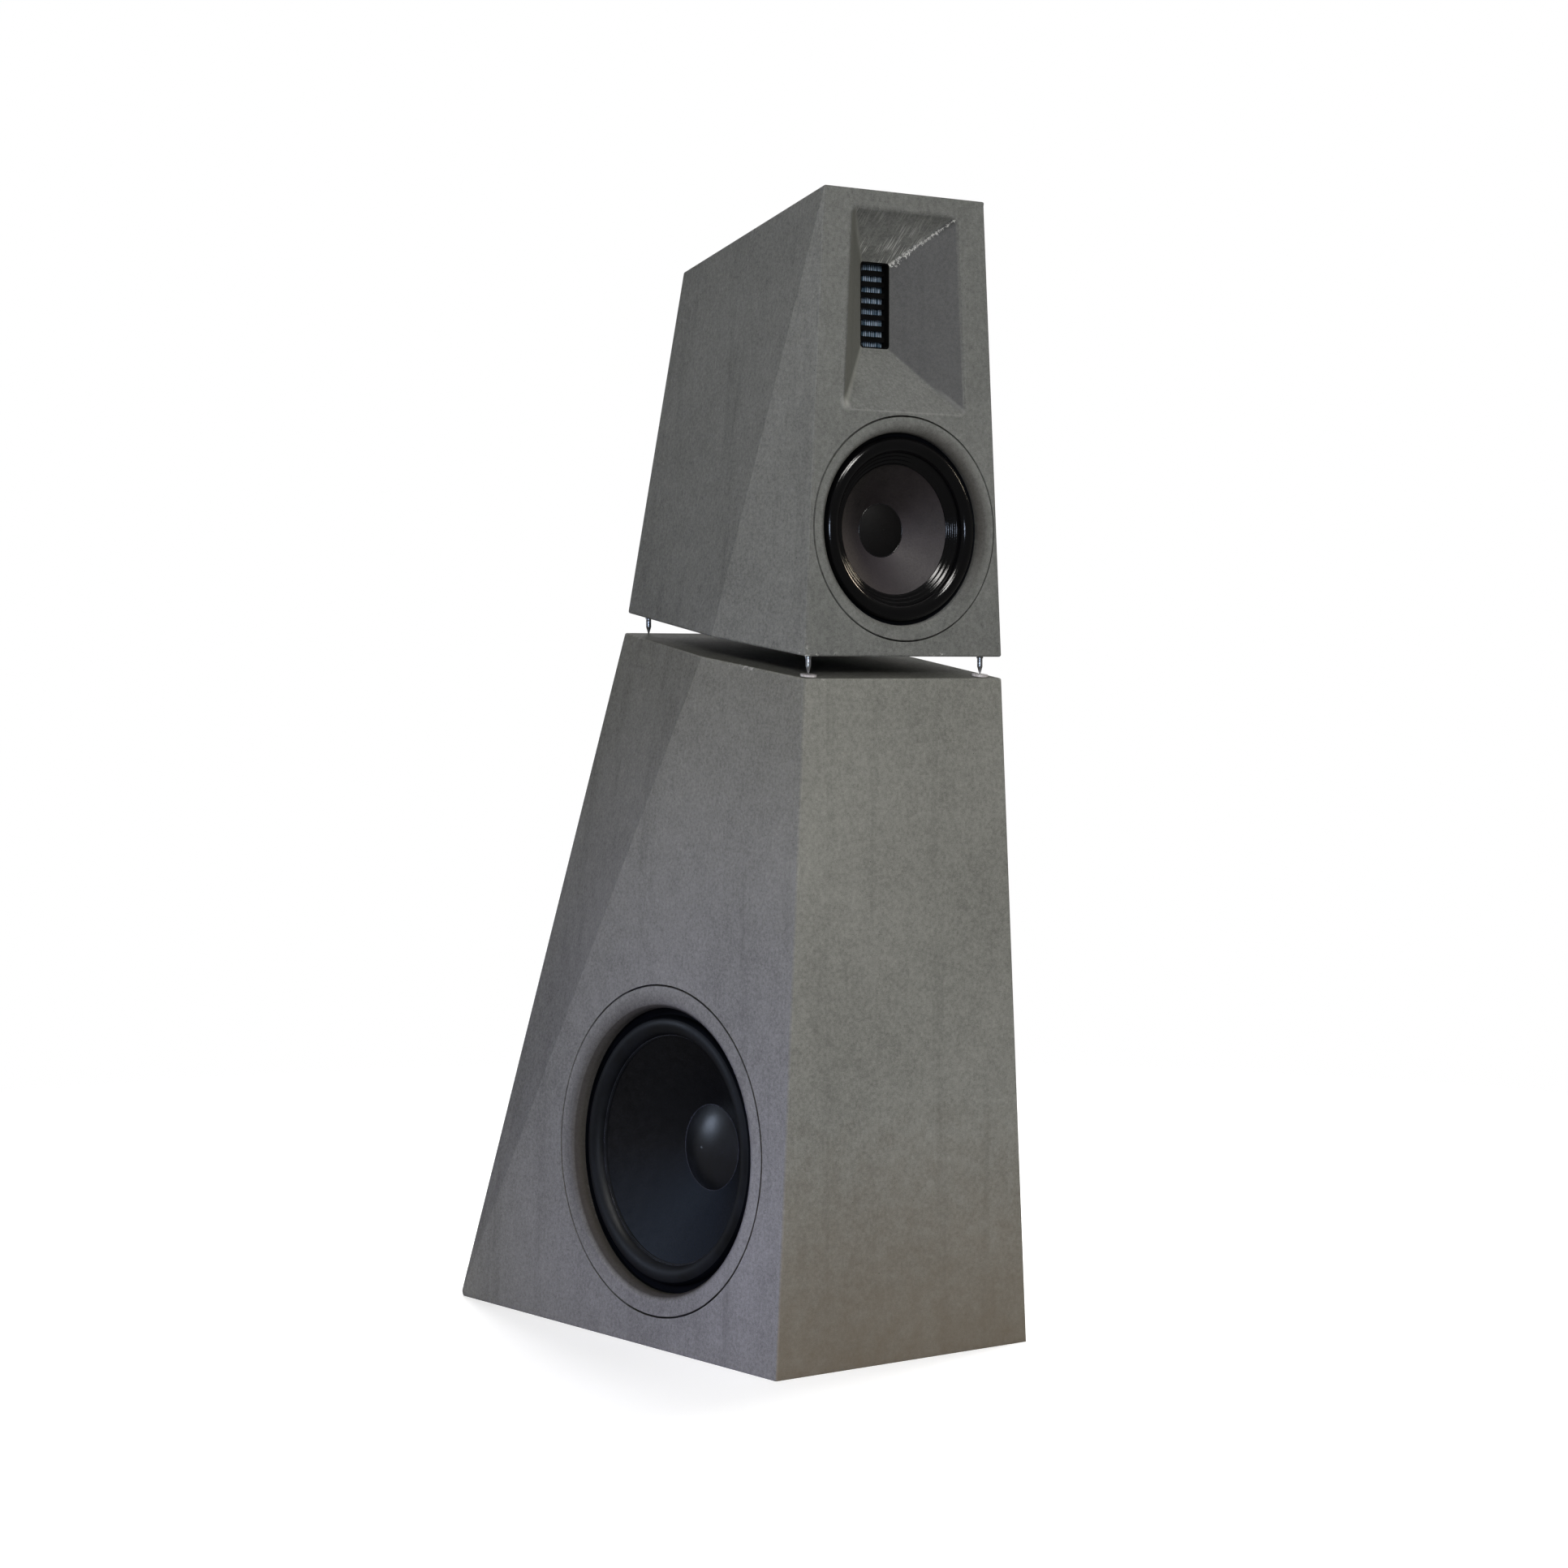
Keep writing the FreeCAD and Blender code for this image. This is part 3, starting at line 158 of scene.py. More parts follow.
# Every material under its name, and the sockets of a mix node that take and give colours
LOOKS = {}
MIX_SHARE, MIX_FIRST, MIX_SECOND, MIX_RESULT = 0, 6, 7, 2
NEARNESS_SAMPLES = 6


class Look:
    """A material in the making: adds nodes to it and joins them."""

    def __init__(self, name):
        self.material = bpy.data.materials.new(name)
        self.material.use_nodes = True
        LOOKS[name] = self.material
        self.tree = self.material.node_tree
        self.shader = self.tree.nodes["Principled BSDF"]
        coordinates = self.add("ShaderNodeTexCoord")
        self.place = coordinates.outputs["Object"]
        self.facing = coordinates.outputs["Normal"]

    def add(self, kind, **inputs):
        """A new node with values or links on its named sockets."""
        node = self.tree.nodes.new(kind)
        for name, value in inputs.items():
            self.feed(node.inputs[name.replace("_", " ")], value)
        return node

    def feed(self, socket, value):
        """Links another socket to this one, or sets its constant value."""
        if isinstance(value, bpy.types.NodeSocket):
            self.tree.links.new(value, socket)
        else:
            socket.default_value = value

    def set(self, **inputs):
        """Values or links on the shader's own sockets."""
        for name, value in inputs.items():
            self.feed(self.shader.inputs[name.replace("_", " ")], value)

    def stretched(self, scale):
        """The place, with a scale of its own along each axis."""
        mapping = self.add("ShaderNodeMapping", Vector=self.place, Scale=scale)
        return mapping.outputs["Vector"]

    def noise(self, scale, detail=3.0, roughness=0.5, place=None):
        """Noise with about this many lumps in a metre."""
        node = self.add("ShaderNodeTexNoise", Vector=place or self.place, Scale=scale, Detail=detail,
                        Roughness=roughness)
        return node.outputs["Fac"]

    def math(self, operation, first, second=0.0):
        """One step of arithmetic."""
        node = self.add("ShaderNodeMath")
        node.operation = operation
        self.feed(node.inputs[0], first)
        self.feed(node.inputs[1], second)
        return node.outputs[0]

    def product(self, first, *others):
        """All the values multiplied."""
        for other in others:
            first = self.math("MULTIPLY", first, other)
        return first

    def total(self, *weighted):
        """A sum of (value, weight) pairs."""
        result = 0.0
        for value, weight in weighted:
            result = self.math("ADD", self.product(value, weight), result)
        return result

    def vector(self, operation, first, second=(0.0, 0.0, 0.0)):
        """One step of arithmetic with vectors."""
        node = self.add("ShaderNodeVectorMath")
        node.operation = operation
        self.feed(node.inputs[0], first)
        self.feed(node.inputs[1], second)
        return node.outputs["Value" if operation in ("LENGTH", "DOT_PRODUCT") else "Vector"]

    def split(self, value):
        """The three parts of a vector."""
        parts = self.add("ShaderNodeSeparateXYZ", Vector=value).outputs
        return parts["X"], parts["Y"], parts["Z"]

    def span(self, value, low, high, to_low=0.0, to_high=1.0):
        """The value stretched from one range to another, and held inside it."""
        node = self.add("ShaderNodeMapRange", Value=value, From_Min=low, From_Max=high, To_Min=to_low,
                        To_Max=to_high)
        return node.outputs["Result"]

    def mix(self, share, first, second):
        """The first colour with a share of the second."""
        node = self.add("ShaderNodeMix")
        node.data_type = "RGBA"
        for index, value in ((MIX_SHARE, share), (MIX_FIRST, first), (MIX_SECOND, second)):
            self.feed(node.inputs[index], value)
        return node.outputs[MIX_RESULT]

    def bump(self, height, depth):
        """A normal bent by a relief of this depth."""
        return self.add("ShaderNodeBump", Height=height, Distance=depth).outputs["Normal"]

    def nearness(self, reach, inside=False):
        """How much lies near a point: other surfaces in front, or the solid's own far side behind."""
        node = self.add("ShaderNodeAmbientOcclusion", Distance=reach)
        node.inside = inside
        node.samples = NEARNESS_SAMPLES
        return self.math("SUBTRACT", 1.0, node.outputs["AO"])

    def axis_distance(self, point, direction):
        """Distance from a straight line through a point of the object's frame."""
        offset = self.vector("SUBTRACT", self.place, tuple(point))
        return self.vector("LENGTH", self.vector("CROSS_PRODUCT", offset, tuple(direction)))


# Concrete: its colours, and the lumps in a metre of each pattern
BASS_TONES = (srgb(74, 74, 70), srgb(145, 145, 138))
HEAD_TONES = (srgb(74, 75, 73), srgb(146, 147, 143))
# Pale chips, strokes and seam; also the colour of the painted highlight on the horn mouth's lower edge
CONCRETE_WEAR_AND_HIGHLIGHT = srgb(190, 190, 185)
CONCRETE_BROWN = srgb(106, 96, 82)
# Colour of the painted shade in the pinholes and in crevices
CONCRETE_PIT_SHADE = srgb(52, 52, 51)
# Colour of the painted shade on a trim ring's inner lip
CONCRETE_LIP_SHADE = srgb(44, 40, 36)
# Colour of painted shade and shadow: front faces, upward faces under the head, front corners, ring gaps,
# horn roof
CONCRETE_SHADE = srgb(10, 10, 8)
# Horn walls: painted shade on the right one, painted light on the left one
HORN_RIGHT_SHADE = srgb(66, 66, 68)
HORN_LEFT_LIGHT = srgb(140, 141, 134)
CLOUD_SCALE = 3.4
MOTTLE_SCALE = 46.0
GRIT_SCALE = 260.0
SAND_SCALE = 1000.0
PINHOLE_CELLS = 85.0
STREAK_STRETCH = (30.0, 30.0, 0.9)
STROKE_STRETCH = (720.0, 34.0, 34.0)
CONCRETE_RELIEF = 0.0004
CREVICE_REACH = 0.01
EDGE_REACH = 0.005

# Heights over the foot's lowest level where its brown starts to fade and where it ends
FOOT_FULL = 0.05
FOOT_END = 0.36

# Painted shadow in the gap round a trim ring, and painted shade on its inner lip, spreading towards one
# side
RING_GAP_FULL = 0.0006
RING_GAP_END = 0.0010
LIP_SHADE_START = -0.02
WOOFER_LIP_SHADE = SimpleNamespace(towards=(0.0, 0.88, 0.47), far=0.13, reach=0.022, full=0.004, share=0.6,
                             all_round=0.85)
MID_LIP_SHADE = SimpleNamespace(towards=(0.85, 0.0, 0.53), far=0.09, reach=0.014, full=0.001, share=0.8,
                          all_round=0.2)

# Sloping joint between the cabinets: its height at the front, and how far the chips beside it reach
JOINT_HEIGHT = 0.762
JOINT_SLOPE = 0.1334
JOINT_REACH = 0.030

# Horn in the head's front, from its mouth to the tweeter's rim
HORN_SKIN = 0.0003
HORN_FADE = 0.003
HORN_DEPTH = 0.057
HORN_LOWEST = 1.03
HORN_FLOOR_FADE = 0.01
HORN_HALF_WIDTH = 0.098
HORN_SIDE_FADE = 0.004
ROOF_SHADE_FULL = 0.004
ROOF_SHADE_END = 0.022
STROKES_START = 0.012
STROKES_FULL = 0.044

# Mouth of the horn: the painted highlight along its rounded lower edge, and the pale spot in the line's
# left corner, partly a chip and partly painted highlight
MOUTH_LOWEST = 1.0405
MOUTH_REACH = 0.1
MOUTH_FLAT = 0.0005
MOUTH_INSET = Vector((0.006, 0.003, 0.006))
RIM_HIGHLIGHT_TOP = 0.03
RIM_HIGHLIGHT_TOP_FADE = 0.01
RIM_HIGHLIGHT_FOOT = 0.006
RIM_HIGHLIGHT_FOOT_FADE = 0.003
SPOT_FULL = 0.003
SPOT_END = 0.010

# Seam in the upper right corner of the horn, from the mouth to the throat, with teeth along one side
SEAM_START = Vector((0.0694, FRONT, HEAD_HIGH.z - 0.0223))
SEAM_END = Vector((0.0185, FRONT + HORN_DEPTH, HEAD_HIGH.z - 0.0702))
SEAM_TEETH = 210.0
SEAM_TEETH_SWAY = 2.4
SEAM_WIDTHS = (0.003, 0.008)
SEAM_WIDENS = (0.01, 0.055)
SEAM_EDGE = 0.0002
SEAM_SOFT = 0.0003


def ring_gap(look, ring):
    """Shadow in the narrow gap round a trim ring."""
    reach = look.axis_distance(ring.centre, ring.axis)
    off_line = look.math("ABSOLUTE", look.math("SUBTRACT", reach, ring.outer))
    gap = look.span(off_line, RING_GAP_END, RING_GAP_FULL)
    uneven = look.span(look.noise(24.0, 2.0), 0.38, 0.6, 0.65, 1.0)
    outwards = look.vector("DOT_PRODUCT", look.facing, ring.axis)
    return look.product(gap, uneven, look.span(outwards, 0.9, 0.97))


def ring_lip_shade(look, ring, lip):
    """Painted shade on the inner lip of a trim ring, which spreads over one half of its face."""
    outwards = look.vector("DOT_PRODUCT", look.facing, ring.axis)
    turned_in = look.span(outwards, 0.995, 0.7, 0.0, lip.all_round)
    reach = look.axis_distance(ring.centre, ring.axis)
    near = look.span(reach, ring.inner + lip.reach, ring.inner + lip.full, 0.0, lip.share)
    offset = look.vector("SUBTRACT", look.place, ring.centre)
    half = look.span(look.vector("DOT_PRODUCT", offset, lip.towards), LIP_SHADE_START, lip.far)
    return look.math("MAXIMUM", turned_in, look.product(near, half))


def pinholes(look):
    """Small air holes, in some cells of a random pattern."""
    cells = look.add("ShaderNodeTexVoronoi", Vector=look.place, Scale=PINHOLE_CELLS)
    chance = look.split(cells.outputs["Color"])[0]
    radius = look.span(chance, 0.7, 1.0, 0.0, 0.07)
    return look.span(look.math("SUBTRACT", radius, cells.outputs["Distance"]), 0.0, 0.02)


def edge_chips(look):
    """Small pale chips where an edge was knocked, most of them along the joint between the cabinets."""
    spots = look.span(look.noise(120.0, 4.0, 0.7), 0.55, 0.6)
    patches = look.span(look.noise(13.0, 2.0), 0.52, 0.62)
    edge = look.span(look.nearness(EDGE_REACH, inside=True), 0.06, 0.22)
    _, depth, height = look.split(look.place)
    level = look.total((height, 1.0), (depth, -JOINT_SLOPE), (1.0, JOINT_SLOPE * FRONT - JOINT_HEIGHT))
    beside_joint = look.span(look.math("ABSOLUTE", level), JOINT_REACH, JOINT_REACH / 2)
    return look.product(spots, patches, edge, look.total((beside_joint, 0.75), (1.0, 0.06)))


def within_horn_width(look):
    """One across the horn's width, nothing beside it."""
    across = look.math("ABSOLUTE", look.split(look.place)[0])
    return look.span(across, HORN_HALF_WIDTH, HORN_HALF_WIDTH - HORN_SIDE_FADE)


def inside_horn(look):
    """The horn's walls, without the front round its mouth and the tweeter's rim."""
    _, depth, height = look.split(look.place)
    behind_front = look.span(depth, FRONT + HORN_SKIN, FRONT + HORN_FADE)
    before_rim = look.span(depth, FRONT + HORN_DEPTH + HORN_FADE, FRONT + HORN_DEPTH)
    over_floor = look.span(height, HORN_LOWEST - HORN_FLOOR_FADE, HORN_LOWEST)
    return look.product(behind_front, before_rim, over_floor, within_horn_width(look))


def horn_wall_light_and_shade(look, colour):
    """The horn's walls: painted shade on the right one, painted light on the left one, painted shadow on
    the roof at the mouth.
    """
    inside = inside_horn(look)
    sideways, _, upwards = look.split(look.facing)
    _, depth, _ = look.split(look.place)
    right = look.product(look.span(sideways, -0.1, -0.35), inside, 0.62)
    colour = look.mix(right, colour, HORN_RIGHT_SHADE)
    left = look.product(look.span(sideways, 0.1, 0.35), inside, 0.5)
    colour = look.mix(left, colour, HORN_LEFT_LIGHT)
    at_mouth = look.span(depth, FRONT + ROOF_SHADE_END, FRONT + ROOF_SHADE_FULL, 0.0, 0.3)
    roof = look.product(look.span(upwards, -0.1, -0.35), inside, at_mouth)
    return look.mix(roof, colour, CONCRETE_SHADE)


def trowel_strokes(look):
    """Fine strokes over the horn's roof, stronger towards the throat."""
    _, depth, _ = look.split(look.place)
    _, _, upwards = look.split(look.facing)
    strokes = look.span(look.noise(1.0, 2.0, 0.5, look.stretched(STROKE_STRETCH)), 0.52, 0.62)
    patches = look.span(look.noise(44.0, 2.0), 0.4, 0.56)
    near_throat = look.span(depth, FRONT + STROKES_START, FRONT + STROKES_FULL, 0.14, 0.74)
    roof = look.product(look.span(upwards, -0.5, -0.65), inside_horn(look))
    return look.product(strokes, patches, near_throat, roof)


def horn_seam(look):
    """The ragged seam where the horn's roof meets its right wall."""
    _, depth, _ = look.split(look.place)
    _, _, upwards = look.split(look.facing)
    along = (SEAM_END - SEAM_START).normalized()
    off_line = look.axis_distance(SEAM_START, along)
    run = look.vector("DOT_PRODUCT", look.place, tuple(along))
    uneven = look.noise(160.0, 3.0, 0.7)
    saw = look.math("FRACT", look.total((run, SEAM_TEETH), (uneven, SEAM_TEETH_SWAY)))
    start, end = SEAM_WIDENS
    width = look.span(depth, FRONT + start, FRONT + end, *SEAM_WIDTHS)
    width = look.product(width, look.span(uneven, 0.36, 0.62, 0.25, 1.0))
    ragged = look.math("ADD", look.product(width, saw), SEAM_EDGE)
    seam = look.span(look.math("SUBTRACT", ragged, off_line), -SEAM_EDGE, SEAM_SOFT)
    below_roof = look.span(upwards, -0.66, -0.5)
    broken = look.span(look.noise(420.0, 3.0, 0.7), 0.38, 0.62, 0.15, 0.8)
    return look.product(seam, inside_horn(look), below_roof, broken)


def mouth_corner():
    """Lower left corner of the horn's mouth in the front face."""
    points = [vertex.co for vertex in NODES["head_cabinet"].data.vertices]
    rim = [point for point in points if abs(point.y - FRONT) < MOUTH_FLAT
           and abs(point.x) < MOUTH_REACH and point.z > MOUTH_LOWEST]
    return Vector((min(point.x for point in rim), FRONT, min(point.z for point in rim)))


def mouth_rim_highlight(look):
    """Painted highlight along the rounded lower edge of the mouth where it faces upwards, and a pale spot
    in its left corner, partly a chip and partly painted highlight.
    """
    corner = mouth_corner()
    _, _, height = look.split(look.place)
    _, _, upwards = look.split(look.facing)
    line = look.product(
        look.span(upwards, 0.1, 0.24), look.span(upwards, 0.5, 0.36),
        look.span(height, corner.z + RIM_HIGHLIGHT_TOP, corner.z + RIM_HIGHLIGHT_TOP - RIM_HIGHLIGHT_TOP_FADE),
        look.span(height, corner.z - RIM_HIGHLIGHT_FOOT, corner.z - RIM_HIGHLIGHT_FOOT + RIM_HIGHLIGHT_FOOT_FADE),
        within_horn_width(look), 0.1)
    away = look.vector("LENGTH", look.vector("SUBTRACT", look.place, tuple(corner + MOUTH_INSET)))
    return look.math("MAXIMUM", line, look.span(away, SPOT_FULL, SPOT_END, 0.36, 0.0))


def concrete(name, lowest, tones, ring, front_shade=0.0, top_shade=0.0, horn=False, lip=None,
             chipped=True):
    """Cast concrete: sandy speckle, faint clouds and streaks, pinholes, chipped edges, brown foot;
    painted shade and light.
    """
    look = Look(name)
    clouds = look.noise(CLOUD_SCALE, 3.0)
    mottle = look.noise(MOTTLE_SCALE, 5.0, 0.6)
    grit = look.noise(GRIT_SCALE, 3.0, 0.7)
    sand = look.noise(SAND_SCALE, 2.0, 0.6)
    shade = look.total((clouds, 0.14), (mottle, 0.08), (grit, 0.22), (sand, 0.2), (1.0, 0.18))
    dark, light = tones
    colour = look.mix(look.span(shade, 0.37, 0.63), dark, light)
    streaks = look.noise(1.0, 4.0, 0.65, look.stretched(STREAK_STRETCH))
    colour = look.mix(look.span(streaks, 0.54, 0.76, 0.0, 0.34), colour, dark)

    sideways, forwards, upwards = look.split(look.facing)
    frontal = look.span(forwards, -0.5, -0.9)
    # Painted shade: front faces darker, by the share given
    colour = look.mix(look.product(frontal, front_shade), colour, CONCRETE_SHADE)
    # Painted shadow: upward faces darker, by the share given (the bass's top, under the head)
    colour = look.mix(look.span(upwards, 0.9, 0.97, 0.0, top_shade), colour, CONCRETE_SHADE)
    # Painted shade on faces that turn both sideways and to the front: the horn's side walls and the
    # rounded front corners
    corner = look.product(look.math("ABSOLUTE", sideways), forwards)
    colour = look.mix(look.span(corner, -0.2, -0.4, 0.0, 0.2), colour, CONCRETE_SHADE)

    height = look.split(look.place)[2]
    ragged = look.total((height, 1.0), (mottle, 0.16))
    foot = look.span(ragged, lowest + FOOT_FULL, lowest + FOOT_END, 0.8, 0.0)
    foot = look.product(foot, look.span(frontal, 0.0, 1.0, 0.1, 1.0))
    colour = look.mix(foot, colour, CONCRETE_BROWN)
    # Painted shade on the trim ring's inner lip
    if lip:
        colour = look.mix(ring_lip_shade(look, ring, lip), colour, CONCRETE_LIP_SHADE)

    holes = pinholes(look)
    # Painted shade inside the pinholes
    colour = look.mix(look.product(holes, 0.6), colour, CONCRETE_PIT_SHADE)
    wear_and_highlight = edge_chips(look) if chipped else 0.0
    if horn:
        # Painted light and shade on the horn's walls
        colour = horn_wall_light_and_shade(look, colour)
        for marks in (trowel_strokes(look), horn_seam(look), mouth_rim_highlight(look)):
            wear_and_highlight = look.math("MAXIMUM", wear_and_highlight, marks)
    # Pale chips, strokes and seam, with the painted highlight on the mouth's lower edge
    colour = look.mix(wear_and_highlight, colour, CONCRETE_WEAR_AND_HIGHLIGHT)
    colour = look.mix(ring_gap(look, ring), colour, CONCRETE_SHADE)
    # Painted shade in creases and recesses, where other surfaces stand close in front
    crevice_shade = look.span(look.nearness(CREVICE_REACH), 0.3, 0.9, 0.0, 0.4)
    colour = look.mix(crevice_shade, colour, CONCRETE_PIT_SHADE)

    relief = look.total((sand, 0.08), (grit, 0.26), (mottle, 0.3), (holes, -0.9), (wear_and_highlight, 0.12))
    look.set(Base_Color=colour, Roughness=look.span(shade, 0.3, 0.7, 0.94, 0.8), Specular_IOR_Level=0.04,
             Normal=look.bump(relief, CONCRETE_RELIEF))


# Depth of each other material's relief, and the painted light on the cones where they face upwards
RUBBER_RELIEF = 0.00006
PAPER_RELIEF = 0.0003
PLASTIC_RELIEF = 0.00008
METAL_RELIEF = 0.00002
BOARD_RELIEF = 0.0002
WIRE_RELIEF = 0.0004
WOOFER_CONE_LIGHT = SimpleNamespace(clear=0.08, full=0.55, share=0.13, colour=srgb(44, 60, 76))
MID_CONE_LIGHT = SimpleNamespace(clear=-0.4, full=0.1, share=0.33, colour=srgb(74, 68, 72))
# Ribbon: painted highlight on the crests, painted shade in the deeper folds
RIBBON_CREST_LIGHT = (srgb(112, 144, 168), srgb(204, 222, 240))
RIBBON_FOLD_SHADE = srgb(9, 14, 22)
RIBBON_FOLD = 0.0011
RIBBON_SWAY = 0.0012
BOARD_TONES = (srgb(112, 84, 56), srgb(168, 134, 96))
WIRE_TONES = (srgb(92, 42, 22), srgb(196, 110, 62))
WIRE_TURNS = 190.0


def rubber(name, dark, light, roughness, gloss=0.5, grain=900.0):
    """Moulded rubber with a fine grain and a bloom in clouds."""
    look = Look(name)
    fine = look.noise(grain, 2.0)
    bloom = look.noise(26.0, 4.0, 0.6)
    colour = look.mix(look.span(look.total((bloom, 0.7), (fine, 0.3)), 0.35, 0.7), dark, light)
    look.set(Base_Color=colour, Roughness=look.span(bloom, 0.3, 0.7, roughness * 0.85, roughness * 1.15),
             Specular_IOR_Level=gloss, Normal=look.bump(fine, RUBBER_RELIEF))


def paper(name, dark, light, warm, roughness, gloss=0.3, dust=None):
    """Pressed paper pulp: short fibres, mottled colour, dull surface, and painted light where it faces
    upwards, if given.
    """
    look = Look(name)
    fibres = look.noise(480.0, 4.0, 0.75)
    lumps = look.noise(85.0, 5.0, 0.7)
    clouds = look.noise(14.0, 2.0)
    pulp = look.total((fibres, 0.5), (lumps, 0.5))
    colour = look.mix(look.span(pulp, 0.36, 0.64), dark, light)
    colour = look.mix(look.span(clouds, 0.42, 0.62, 0.0, 0.6), colour, warm)
    # Painted light: the surface paler where it faces upwards, bluish on the woofer
    if dust:
        upwards = look.split(look.facing)[2]
        lit_upwards = look.span(upwards, dust.clear, dust.full, 0.0, dust.share)
        colour = look.mix(lit_upwards, colour, dust.colour)
    look.set(Base_Color=colour,
             Roughness=look.span(fibres, 0.3, 0.7, roughness + 0.08, roughness - 0.08),
             Specular_IOR_Level=gloss, Normal=look.bump(pulp, PAPER_RELIEF))


def plastic(name, dark, light, roughness, gloss=0.5):
    """Moulded plastic with a fine eroded grain and faint handling marks."""
    look = Look(name)
    grain = look.noise(1100.0, 2.0)
    marks = look.noise(60.0, 5.0, 0.65)
    look.set(Base_Color=look.mix(look.span(marks, 0.35, 0.7), dark, light),
             Roughness=look.span(marks, 0.3, 0.7, roughness - 0.07, roughness + 0.09),
             Specular_IOR_Level=gloss, Normal=look.bump(grain, PLASTIC_RELIEF))


def metal(name, dark, light, roughness, brush=(900.0, 900.0, 30.0), metallic=1.0):
    """Machined metal with fine tool lines and a little tarnish."""
    look = Look(name)
    lines = look.noise(1.0, 3.0, 0.6, look.stretched(brush))
    tarnish = look.noise(130.0, 4.0, 0.6)
    rubbed = look.total((lines, 0.6), (tarnish, 0.4))
    look.set(Base_Color=look.mix(look.span(tarnish, 0.35, 0.7), dark, light), Metallic=metallic,
             Roughness=look.span(rubbed, 0.3, 0.7, roughness * 0.7, roughness * 1.4),
             Normal=look.bump(lines, METAL_RELIEF))


def ribbon(name):
    """Pleated foil: its own silver with a painted silver-blue highlight on the crests, and painted shade
    in the folds, no two quite the same.
    """
    look = Look(name)
    _, depth, _ = look.split(look.place)
    uneven = look.noise(1.0, 2.0, 0.5, look.stretched((420.0, 40.0, 90.0)))
    swayed = look.total((depth, 1.0), (uneven, -RIBBON_SWAY))
    # Painted shade: darker with depth behind the ribbon's front
    fold = look.span(swayed, RIBBON_FRONT, RIBBON_FRONT + RIBBON_FOLD)
    crest = look.mix(look.span(uneven, 0.36, 0.64), *RIBBON_CREST_LIGHT)
    look.set(Base_Color=look.mix(fold, crest, RIBBON_FOLD_SHADE), Metallic=0.35,
             Roughness=look.span(uneven, 0.3, 0.7, 0.3, 0.42))


def fibreboard(name):
    """Pressed board: short brown fibres in layers."""
    look = Look(name)
    fibres = look.noise(1.0, 5.0, 0.7, look.stretched((260.0, 260.0, 900.0)))
    look.set(Base_Color=look.mix(look.span(fibres, 0.35, 0.65), *BOARD_TONES),
             Roughness=look.span(fibres, 0.3, 0.7, 0.75, 0.9), Normal=look.bump(fibres, BOARD_RELIEF))


def windings(name):
    """Enamelled copper wire laid in turns."""
    look = Look(name)
    wave = look.add("ShaderNodeTexWave", Vector=look.place, Scale=WIRE_TURNS, Distortion=0.4)
    wave.bands_direction = "Z"
    turns = wave.outputs["Fac"]
    look.set(Base_Color=look.mix(turns, *WIRE_TONES), Metallic=0.85,
             Roughness=look.span(turns, 0.0, 1.0, 0.45, 0.28), Normal=look.bump(turns, WIRE_RELIEF))


